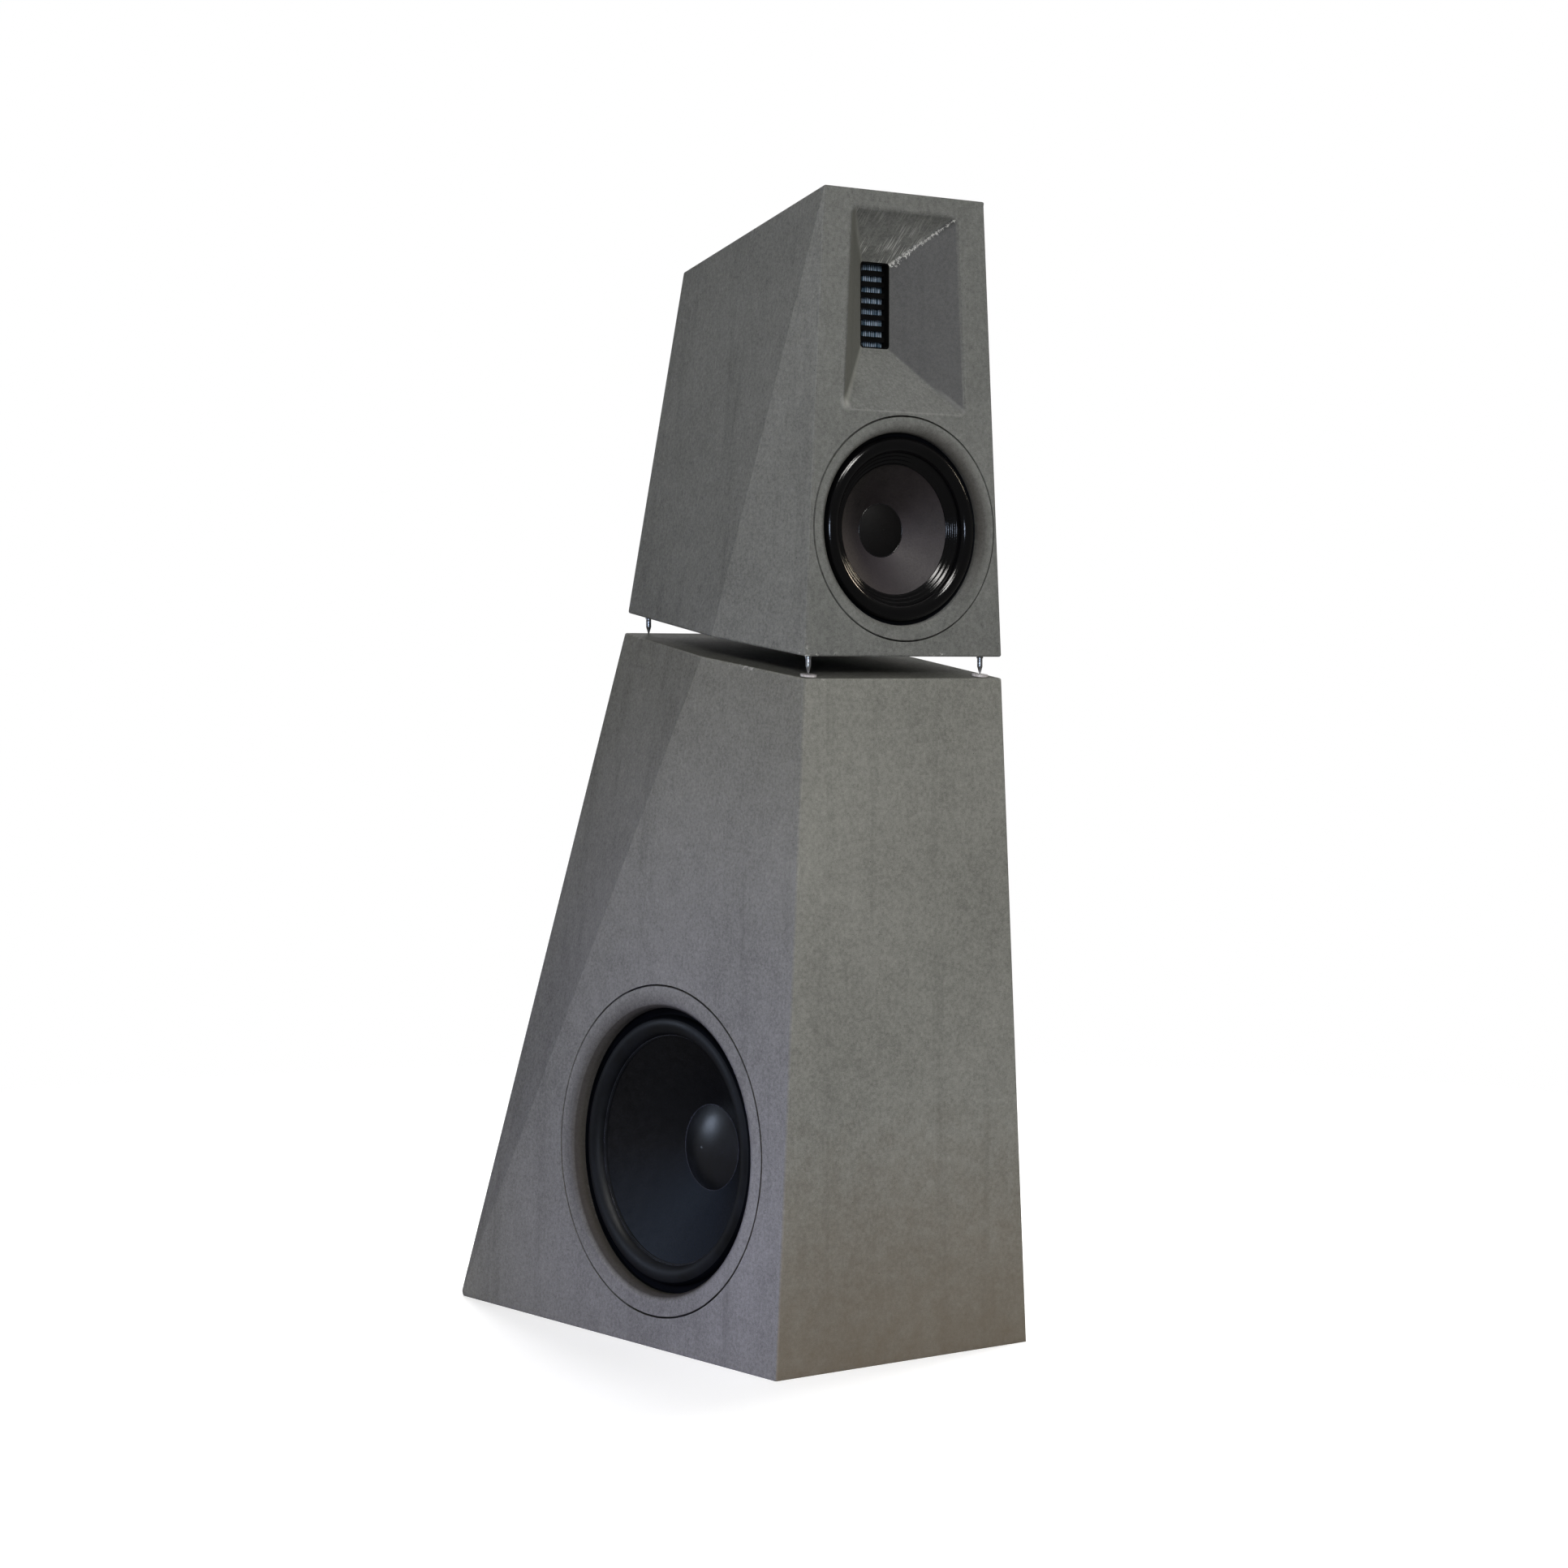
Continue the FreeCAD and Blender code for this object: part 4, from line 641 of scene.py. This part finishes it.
def make_looks():
    """All the speaker's materials: dark and light colour, then roughness."""
    woofer_ring, mid_ring = ring_edge(WOOFER), ring_edge(MID)
    concrete("bass_concrete", BASS_FOOT, BASS_TONES, woofer_ring, top_shade=0.45)
    concrete("woofer_ring_concrete", BASS_FOOT, BASS_TONES, woofer_ring, lip=WOOFER_LIP_SHADE)
    concrete("head_concrete", HEAD_FOOT, HEAD_TONES, mid_ring, front_shade=0.27, horn=True)
    concrete("mid_ring_concrete", HEAD_FOOT, HEAD_TONES, mid_ring, front_shade=0.27, lip=MID_LIP_SHADE)
    concrete("fill_concrete", HEAD_FOOT, HEAD_TONES, mid_ring, chipped=False)
    rubber("woofer_rubber", srgb(7, 8, 9), srgb(17, 19, 23), 0.52, gloss=0.3)
    # Darker, duller black for the surround's outer land and upstand: painted shade in the channel between
    # ring and roll, over the rubber's own black
    rubber("channel", srgb(2, 3, 5), srgb(6, 7, 11), 0.6, gloss=0.08)
    rubber("mid_rubber", srgb(2, 2, 3), srgb(6, 6, 7), 0.13, gloss=0.36)
    paper("woofer_paper", srgb(5, 5, 5), srgb(20, 20, 20), srgb(13, 14, 15), 0.5, gloss=0.18,
          dust=WOOFER_CONE_LIGHT)
    paper("mid_paper", srgb(7, 7, 6), srgb(36, 34, 32), srgb(32, 27, 29), 0.56, gloss=0.26, dust=MID_CONE_LIGHT)
    rubber("woofer_cap", srgb(6, 7, 8), srgb(15, 16, 20), 0.38, gloss=0.7, grain=600.0)
    paper("mid_cap", srgb(8, 8, 8), srgb(18, 17, 17), srgb(13, 12, 12), 0.55, gloss=0.15)
    plastic("mid_bead", srgb(10, 10, 11), srgb(22, 22, 24), 0.2)
    # Paler than the blacks round it: painted highlight standing in for the glints along the woofer cap's
    # bead
    plastic("woofer_bead", srgb(30, 32, 36), srgb(54, 57, 64), 0.24)
    plastic("rim", srgb(18, 19, 21), srgb(36, 38, 42), 0.2)
    metal("chrome", srgb(150, 152, 154), srgb(206, 208, 212), 0.2, metallic=0.9)
    # The discs' chrome is pale and partly dull: painted reflection standing in for its bright glints
    metal("disc_chrome", srgb(196, 190, 190), srgb(232, 228, 228), 0.24, metallic=0.35)
    metal("steel", srgb(120, 122, 126), srgb(168, 170, 174), 0.34)
    metal("black_steel", srgb(30, 30, 32), srgb(52, 52, 55), 0.4)
    metal("cast_alloy", srgb(58, 59, 62), srgb(92, 93, 97), 0.5, brush=(160.0, 160.0, 160.0))
    plastic("ferrite", srgb(34, 34, 36), srgb(54, 54, 56), 0.72)
    metal("brass", srgb(176, 132, 58), srgb(222, 184, 104), 0.24)
    ribbon("ribbon")
    plastic("tweeter_black", srgb(3, 3, 3), srgb(8, 8, 8), 0.5, gloss=0.12)
    plastic("terminal_black", srgb(18, 18, 19), srgb(34, 34, 36), 0.48)
    plastic("cap_red", srgb(138, 18, 16), srgb(172, 30, 26), 0.3)
    plastic("cap_black", srgb(16, 16, 17), srgb(32, 32, 34), 0.3)
    paper("felt", srgb(26, 26, 27), srgb(52, 52, 54), srgb(40, 40, 42), 0.9)
    paper("spider_cloth", srgb(128, 96, 44), srgb(176, 140, 78), srgb(150, 112, 56), 0.85)
    fibreboard("board")
    windings("copper")
    plastic("film", srgb(150, 116, 44), srgb(186, 150, 72), 0.34)
    plastic("ceramic", srgb(196, 192, 182), srgb(222, 218, 208), 0.7)


NODE_LOOKS = {
    "bass_cabinet": "bass_concrete", "woofer_trim_ring": "woofer_ring_concrete",
    "head_cabinet": "head_concrete", "mid_trim_ring": "mid_ring_concrete",
    "spikes": "chrome", "spike_discs": "disc_chrome", "spike_inserts": "brass",
    "woofer_cone": "woofer_paper", "woofer_dust_cap": "woofer_cap",
    "mid_cone": "mid_paper", "mid_dust_cap": "mid_cap",
    "tweeter_front_plate": "tweeter_black", "tweeter_diaphragm": "ribbon", "tweeter_magnets": "ferrite",
    "tweeter_rear_plate": "black_steel", "tweeter_housing": "black_steel", "tweeter_gasket": "felt",
    "tweeter_screws": "black_steel",
    "crossover_board": "board", "crossover_coils": "copper", "crossover_capacitors": "film",
    "crossover_resistors": "ceramic", "crossover_screws": "steel",
}
DRIVER_LOOKS = {
    "basket": "cast_alloy", "gasket": "felt", "screws": "black_steel", "voice_coil": "copper",
    "top_plate": "steel", "magnet": "ferrite", "back_plate": "steel", "spider": "spider_cloth",
}
TERMINAL_LOOKS = {
    "plate": "terminal_black", "posts": "brass", "cap_red": "cap_red", "cap_black": "cap_black",
    "screws": "black_steel",
}
for driver in (WOOFER.name, MID.name):
    NODE_LOOKS[f"{driver}_surround"] = f"{driver}_rubber"
    NODE_LOOKS.update({f"{driver}_{piece}": look for piece, look in DRIVER_LOOKS.items()})
for cabinet in CABINETS:
    NODE_LOOKS.update({f"{cabinet}_terminal_{piece}": look for piece, look in TERMINAL_LOOKS.items()})


def dress_nodes():
    """Gives every CAD node its material."""
    for name, look in NODE_LOOKS.items():
        mesh = NODES[name].data
        mesh.materials.clear()
        mesh.materials.append(LOOKS[look])


def new_piece(name, vertices, faces, look):
    """A mesh piece with a material."""
    mesh = bpy.data.meshes.new(name)
    mesh.from_pydata(vertices, [], faces)
    mesh.validate()
    mesh.shade_smooth()
    mesh.set_sharp_from_angle(angle=math.radians(SHARP_ANGLE))
    mesh.materials.append(LOOKS[look])
    piece = bpy.data.objects.new(name, mesh)
    bpy.context.scene.collection.objects.link(piece)
    return piece


def join_loops(faces, here, there, count, flipped=False):
    """Adds the four-sided faces between two loops of vertices, given by their first indices."""
    for index in range(count):
        following = (index + 1) % count
        first, second, third, fourth = here + index, here + following, there + following, there + index
        faces.append((first, fourth, third, second) if flipped else (first, second, third, fourth))


def add_turned(vertices, faces, outline, place):
    """Adds a body turned from a closed outline of (radius, depth) points about a place's axis."""
    count = len(outline)
    first = len(vertices)
    for step in range(ROUND_STEPS):
        angle = 2 * math.pi * step / ROUND_STEPS
        for radius, depth in outline:
            vertices.append(place @ Vector((radius * math.cos(angle), radius * math.sin(angle), -depth)))
    for step in range(ROUND_STEPS):
        join_loops(faces, first + step * count, first + (step + 1) % ROUND_STEPS * count, count)


def turned(name, outline, place, look):
    """A piece turned from one outline."""
    vertices, faces = [], []
    add_turned(vertices, faces, outline, place)
    return new_piece(name, vertices, faces, look)


def bend_with_cone(piece, place, inner, outer):
    """Bakes the piece's place into its mesh and works out each point's share between the inner and outer
    radius; the share is not used.
    """
    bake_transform(piece)
    inverse = place.inverted()
    for vertex in piece.data.vertices:
        local = inverse @ vertex.co
        share = (outer - math.hypot(local.x, local.y)) / (outer - inner)
        share = min(max(share, 0.0), 1.0)


def wave_at(turns):
    """Height of a wave from 0 to 1 after a number of whole waves."""
    return 0.5 - 0.5 * math.cos(2 * math.pi * turns)


def half_turn(middle, radius, depth, steps, inwards=True):
    """Points over a half-round roll, from its outer foot to its inner one or back."""
    points = []
    for step in range(steps + 1):
        angle = math.pi * step / steps
        if not inwards:
            angle = math.pi - angle
        points.append((middle + radius * math.cos(angle), depth - radius * math.sin(angle)))
    return points


def make_surround(d, place):
    """The half-roll surround with its lip on the cone, moulded with fine ridges where it has them."""
    outer = d.cone + d.roll
    middle = d.cone + d.roll / 2
    edge = outer + d.land
    front = [(edge + d.rim, d.ring_back), (edge, d.ring_back)]
    front += [(edge, d.face - CORNER_EASE), (edge - CORNER_EASE, d.face)]
    front += half_turn(middle, d.roll / 2, d.face, ROLL_STEPS)
    lip_steps = RIDGED_LIP_STEPS if d.ridges else PLAIN_LIP_STEPS
    for step in range(1, lip_steps + 1):
        share = step / lip_steps
        ridge = RIDGE_HEIGHT * wave_at(d.ridges * share)
        front.append((d.cone - d.bond * share, d.face + d.bond_fall * share - ridge))
    back = [(d.cone - d.bond, d.face + d.wall + d.bond_fall), (d.cone, d.face + d.wall)]
    back += half_turn(middle, d.roll / 2 - d.wall, d.face + d.wall / 2, ROLL_BACK_STEPS, inwards=False)
    back += [(outer, d.face + d.wall), (edge + d.rim, d.face + d.wall)]
    piece = turned(f"{d.name}_soft_surround", front + back, place, f"{d.name}_rubber")
    mesh = piece.data
    # Painted shade in the channel between ring and roll: the land, upstand and a strip of the roll's
    # outer flank take the darker black
    mesh.materials.append(LOOKS["channel"])
    inverse = place.inverted()
    for face in mesh.polygons:
        flat = inverse @ face.center
        face.material_index = 1 if math.hypot(flat.x, flat.y) > outer - d.shaded else 0
    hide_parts(f"{d.name}_surround")
    bend_with_cone(piece, place, d.cone, outer)


def make_spider(d, place):
    """The waved cloth disc behind the cone."""
    inner = d.coil + SEAT_GAP
    outer = d.coil + d.spider_width
    waved = outer - d.spider_landing - inner
    near = []
    steps = WAVE_STEPS * SPIDER_WAVES
    for step in range(steps + 1):
        wave = d.spider_wave * wave_at(SPIDER_WAVES * step / steps)
        near.append((inner + waved * step / steps, d.spider_depth - wave))
    near.append((outer, d.spider_depth))
    far = [(radius, depth - d.spider_wall) for radius, depth in near]
    piece = turned(f"{d.name}_soft_spider", far + near[::-1], place, "spider_cloth")
    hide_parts(f"{d.name}_spider")
    bend_with_cone(piece, place, inner, outer - d.spider_landing)


def make_bead(name, d, place, radius, depth, size, look):
    """A thin round bead on the cone."""
    outline = []
    for step in range(BEAD_STEPS):
        angle = 2 * math.pi * step / BEAD_STEPS
        outline.append((radius + size * math.cos(angle), depth + size * math.sin(angle)))
    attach(turned(name, outline, place, look), f"{d.name}_cone_assembly")


def dress_driver(d):
    """A driver's soft pieces and the bead round its dust cap. Returns the driver's frame."""
    place = driver_place(d)
    make_surround(d, place)
    make_spider(d, place)
    cap_depth = d.face + d.wall + (d.cone - d.cap) * d.fall
    make_bead(f"{d.name}_cap_bead", d, place, d.cap + CAP_BEAD_GAP, cap_depth, CAP_BEAD,
              f"{d.name}_bead")
    return place


def make_woofer_rim(place):
    """The bead where the woofer's cone meets its surround."""
    d = WOOFER
    make_bead("woofer_rim_bead", d, place, d.cone - RIM_BEAD_INSET, d.face, RIM_BEAD, "rim")


# Terminal caps
CAP_RIDGES = 20
CAP_RIDGE_STEPS = 6
CAP_GROOVE = 0.0008
CAP_FOOT_CHAMFER = 0.0008
CAP_END_CHAMFER = 0.0016


def make_knurled_cap(node, look):
    """A binding post's cap with ridges for the fingers, in place of the plain one."""
    plate_low, plate_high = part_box(node.split("_cap_")[0] + "_plate")
    along = Vector((0, plate_high.y - plate_low.y, plate_high.z - plate_low.z)).normalized()
    side = Vector((1, 0, 0))
    outward = side.cross(along).normalized()
    if outward.y < 0:
        outward.negate()
    points = [vertex.co for vertex in NODES[node].data.vertices]
    place = standing(sum(points, Vector()) / len(points), side, outward)
    radii, heights = zip(*local_points(node, place))
    bore, outer = min(radii), max(radii)
    foot, end = min(heights), max(heights)
    levels = [
        (bore, foot, False), (outer - CAP_FOOT_CHAMFER, foot, False),
        (outer, foot + CAP_FOOT_CHAMFER, True), (outer, end - CAP_END_CHAMFER, True),
        (outer - CAP_END_CHAMFER, end, False), (bore, end, False),
    ]
    steps = CAP_RIDGES * CAP_RIDGE_STEPS
    vertices, faces = [], []
    for step in range(steps):
        angle = 2 * math.pi * step / steps
        groove = CAP_GROOVE * wave_at(CAP_RIDGES * step / steps)
        for radius, height, grooved in levels:
            reach = radius - groove if grooved else radius
            vertices.append(place @ Vector((reach * math.cos(angle), reach * math.sin(angle), height)))
    count = len(levels)
    for step in range(steps):
        join_loops(faces, step * count, (step + 1) % steps * count, count, flipped=True)
    piece = new_piece(f"{node}_knurled", vertices, faces, look)
    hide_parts(node)
    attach(piece, BODY)


# Inserts over the spikes: the rear pair is short, so that it stays inside the leaning back
INSERT_BORE = 0.0032
INSERT_CLEAR = 0.0002
INSERT_CHAMFER = 0.0005
REAR_INSERT_LENGTH = 0.007
BACK_FACING = 0.9
FILL_DEPTH = 0.0012
FILL_STEPS = 24
LEAST_HALF_WIDTH = 0.00001


def insert_boxes():
    """Lowest and highest corner of each insert, and whether it is one of the rear pair."""
    points = [vertex.co for vertex in NODES["spike_inserts"].data.vertices]
    for rear in (False, True):
        for side in (-1, 1):
            own = [point for point in points if (point.y > 0) == rear and point.x * side > 0]
            low = Vector([min(point[axis] for point in own) for axis in range(3)])
            high = Vector([max(point[axis] for point in own) for axis in range(3)])
            yield low, high, rear


def make_inserts():
    """The threaded sleeves that hold the spikes."""
    vertices, faces = [], []
    for low, high, rear in insert_boxes():
        outer = (high.x - low.x) / 2
        eased = outer - INSERT_CHAMFER
        length = REAR_INSERT_LENGTH if rear else high.z - low.z
        outline = [(INSERT_BORE, 0), (eased, 0), (outer, -INSERT_CHAMFER),
                   (outer, INSERT_CHAMFER - length), (eased, -length), (INSERT_BORE, -length)]
        foot = Vector(((low.x + high.x) / 2, (low.y + high.y) / 2, low.z))
        add_turned(vertices, faces, outline, Matrix.Translation(foot))
    piece = new_piece("threaded_inserts", vertices, faces, "brass")
    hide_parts("spike_inserts")
    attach(piece, BODY)


def make_back_fill():
    """Concrete behind each rear insert, where its hole would break out of the back."""
    back = max((face for face in NODES["head_cabinet"].data.polygons if face.normal.y > BACK_FACING),
               key=lambda face: face.area)
    lean = back.normal.z / back.normal.y
    for low, high, rear in insert_boxes():
        if not rear:
            continue
        centre = (low + high) / 2
        radius = (high.x - low.x) / 2 + INSERT_CLEAR
        start = back.center.z + (back.center.y - centre.y - radius) / lean
        vertices, faces = [], []
        for step in range(FILL_STEPS + 1):
            height = start + (high.z - start) * step / FILL_STEPS
            depth = back.center.y - (height - back.center.z) * lean
            half = math.sqrt(max(radius ** 2 - (depth - centre.y) ** 2, LEAST_HALF_WIDTH ** 2))
            left, right, sunk = centre.x - half, centre.x + half, depth - FILL_DEPTH
            vertices += [(left, depth, height), (right, depth, height),
                         (right, sunk, height), (left, sunk, height)]
        for step in range(FILL_STEPS):
            join_loops(faces, 4 * step, 4 * step + 4, 4, flipped=True)
        last = 4 * FILL_STEPS
        faces += [(0, 1, 2, 3), (last + 3, last + 2, last + 1, last)]
        name = "head_back_fill_left" if centre.x < 0 else "head_back_fill_right"
        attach(new_piece(name, vertices, faces, "fill_concrete"), BODY)


# Studio: the pale floor thins out into the white behind it
FLOOR_FADE = 0.9
FLOOR_REACH = 2.4
FLOOR_LIFT = 0.4
FLOOR_TONES = (srgb(236, 236, 235), srgb(244, 244, 244))
FLOOR_UNSEEN = srgb(176, 176, 174)
AMBIENT = 0.13
AMBIENT_COLOUR = (1.0, 0.99, 0.95, 1.0)
PURE_WHITE = (1.0, 1.0, 1.0, 1.0)


def make_floor():
    """A pale floor that throws little light back up under the object."""
    look = Look("studio_floor")
    shade = look.noise(1.4, 3.0)
    seen = look.add("ShaderNodeLightPath").outputs["Is Camera Ray"]
    away = look.vector("LENGTH", look.place)
    look.set(Base_Color=look.mix(seen, FLOOR_UNSEEN, look.mix(shade, *FLOOR_TONES)),
             Roughness=look.span(shade, 0.0, 1.0, 0.75, 0.85),
             Emission_Color=PURE_WHITE,
             Emission_Strength=look.product(seen, FLOOR_LIFT),
             Alpha=look.span(away, FLOOR_FADE, FLOOR_REACH, 1.0, 0.0))
    half = FLOOR_REACH
    corners = [(-half, -half, 0), (half, -half, 0), (half, half, 0), (-half, half, 0)]
    mesh = bpy.data.meshes.new("studio_floor")
    mesh.from_pydata(corners, [], [(0, 1, 2, 3)])
    mesh.materials.append(look.material)
    floor = bpy.data.objects.new("studio_floor", mesh)
    floor.visible_glossy = False
    bpy.context.scene.collection.objects.link(floor)


def make_softbox(name, place, target, size, power, colour, mirrored=True, lights_up=True,
                 spread=180):
    """A square lamp, which may show only in glossy surfaces or only light up dull ones."""
    light = bpy.data.lights.new(name, "AREA")
    light.size = size
    light.energy = power
    light.color = colour
    light.spread = math.radians(spread)
    lamp = bpy.data.objects.new(name, light)
    lamp.location = place
    lamp.rotation_euler = (Vector(target) - Vector(place)).to_track_quat("-Z", "Y").to_euler()
    lamp.visible_glossy = mirrored
    lamp.visible_diffuse = lights_up
    bpy.context.scene.collection.objects.link(lamp)


WARM = (1.0, 0.985, 0.95)
GOLD = (1.0, 0.86, 0.66)
COOL = (0.66, 0.78, 1.0)
VIOLET = (0.9, 0.94, 1.0)
DEEP_VIOLET = (0.46, 0.47, 1.0)
WHITE = (1.0, 1.0, 1.0)


def make_lights():
    """The studio's lamps: place, what each points at, its size, power and colour."""
    make_softbox("key", (-2.4, -3.4, 1.9), (0, 0, 0.55), 0.8, 118, WHITE, mirrored=False)
    make_softbox("flash", (-2.5, -3.1, 0.9), (0, 0, 0.6), 0.22, 20, VIOLET, mirrored=False)
    make_softbox("lamp", (-0.2, -2.75, 3.3), (0, 0, 0.7), 0.3, 24, WARM, mirrored=False)
    make_softbox("front", (-0.4, -3.6, 1.0), (0, 0, 0.5), 0.8, 4.5, GOLD, mirrored=False)
    make_softbox("right_lamp", (3.0, 0.35, 1.7), (0, 0, 0.6), 0.8, 60, WARM, mirrored=False)
    make_softbox("low_side", (-2.0, -0.5, 0.12), (-0.22, -0.2, 0.08), 0.4, 1.3, DEEP_VIOLET,
                 mirrored=False, spread=42)
    make_softbox("head_side", (-3.0, -1.8, 1.25), (-0.1, 0, 1.02), 0.5, 0.2, DEEP_VIOLET,
                 mirrored=False, spread=30)
    make_softbox("sky", (-2.45, 1.7, 1.4), (0, 0, 0.3), 0.8, 20, COOL, lights_up=False)
    make_softbox("glint_front", (-0.2, -2.75, 3.3), (0, 0, 0.9), 0.8, 46, WARM, lights_up=False)
    make_softbox("glint_over", (-1.0, -1.5, 3.4), (0, 0, 0.9), 1.0, 56, WARM, lights_up=False)
    make_softbox("glint_left", (-2.6, -3.2, 1.0), (0, 0, 0.9), 0.6, 26, COOL, lights_up=False)
    make_softbox("glint_right", (3.0, -0.9, 1.9), (0, 0, 0.9), 0.5, 18, GOLD, lights_up=False)
    make_softbox("back_fill", (1.6, 3.6, 2.6), (0, 0, 0.6), 2.0, 150, WHITE)


def make_world():
    """White behind the object, and a dimmer even light from all round."""
    world = bpy.data.worlds.new("studio")
    world.use_nodes = True
    nodes, links = world.node_tree.nodes, world.node_tree.links
    dim = nodes["Background"]
    dim.inputs["Color"].default_value = AMBIENT_COLOUR
    dim.inputs["Strength"].default_value = AMBIENT
    white = nodes.new("ShaderNodeBackground")
    white.inputs["Color"].default_value = PURE_WHITE
    white.inputs["Strength"].default_value = 1.0
    seen = nodes.new("ShaderNodeLightPath")
    choice = nodes.new("ShaderNodeMixShader")
    links.new(seen.outputs["Is Camera Ray"], choice.inputs["Fac"])
    links.new(dim.outputs["Background"], choice.inputs[1])
    links.new(white.outputs["Background"], choice.inputs[2])
    links.new(choice.outputs["Shader"], nodes["World Output"].inputs["Surface"])
    bpy.context.scene.world = world


def make_camera():
    """The photograph's camera, with its picture's centre shifted as it was found."""
    camera = bpy.data.cameras.new("camera")
    camera.sensor_width = SENSOR
    camera.lens = FOCAL_PIXELS / PICTURE_PIXELS * SENSOR
    camera.shift_x = (PICTURE_PIXELS / 2 - AXIS_PIXEL[0]) / PICTURE_PIXELS
    camera.shift_y = (AXIS_PIXEL[1] - PICTURE_PIXELS / 2) / PICTURE_PIXELS
    holder = bpy.data.objects.new("camera", camera)
    holder.location = CAMERA_PLACE
    holder.rotation_euler = (math.radians(90 + CAMERA_PITCH), 0, math.radians(-CAMERA_YAW))
    bpy.context.scene.collection.objects.link(holder)
    bpy.context.scene.camera = holder


make_looks()
dress_nodes()
make_woofer_rim(dress_driver(WOOFER))
dress_driver(MID)
for cabinet in CABINETS:
    for cap in ("red", "black"):
        make_knurled_cap(f"{cabinet}_terminal_cap_{cap}", f"cap_{cap}")
make_inserts()
make_back_fill()
make_floor()
make_lights()
make_world()
make_camera()
bpy.context.scene.view_settings.view_transform = "Standard"
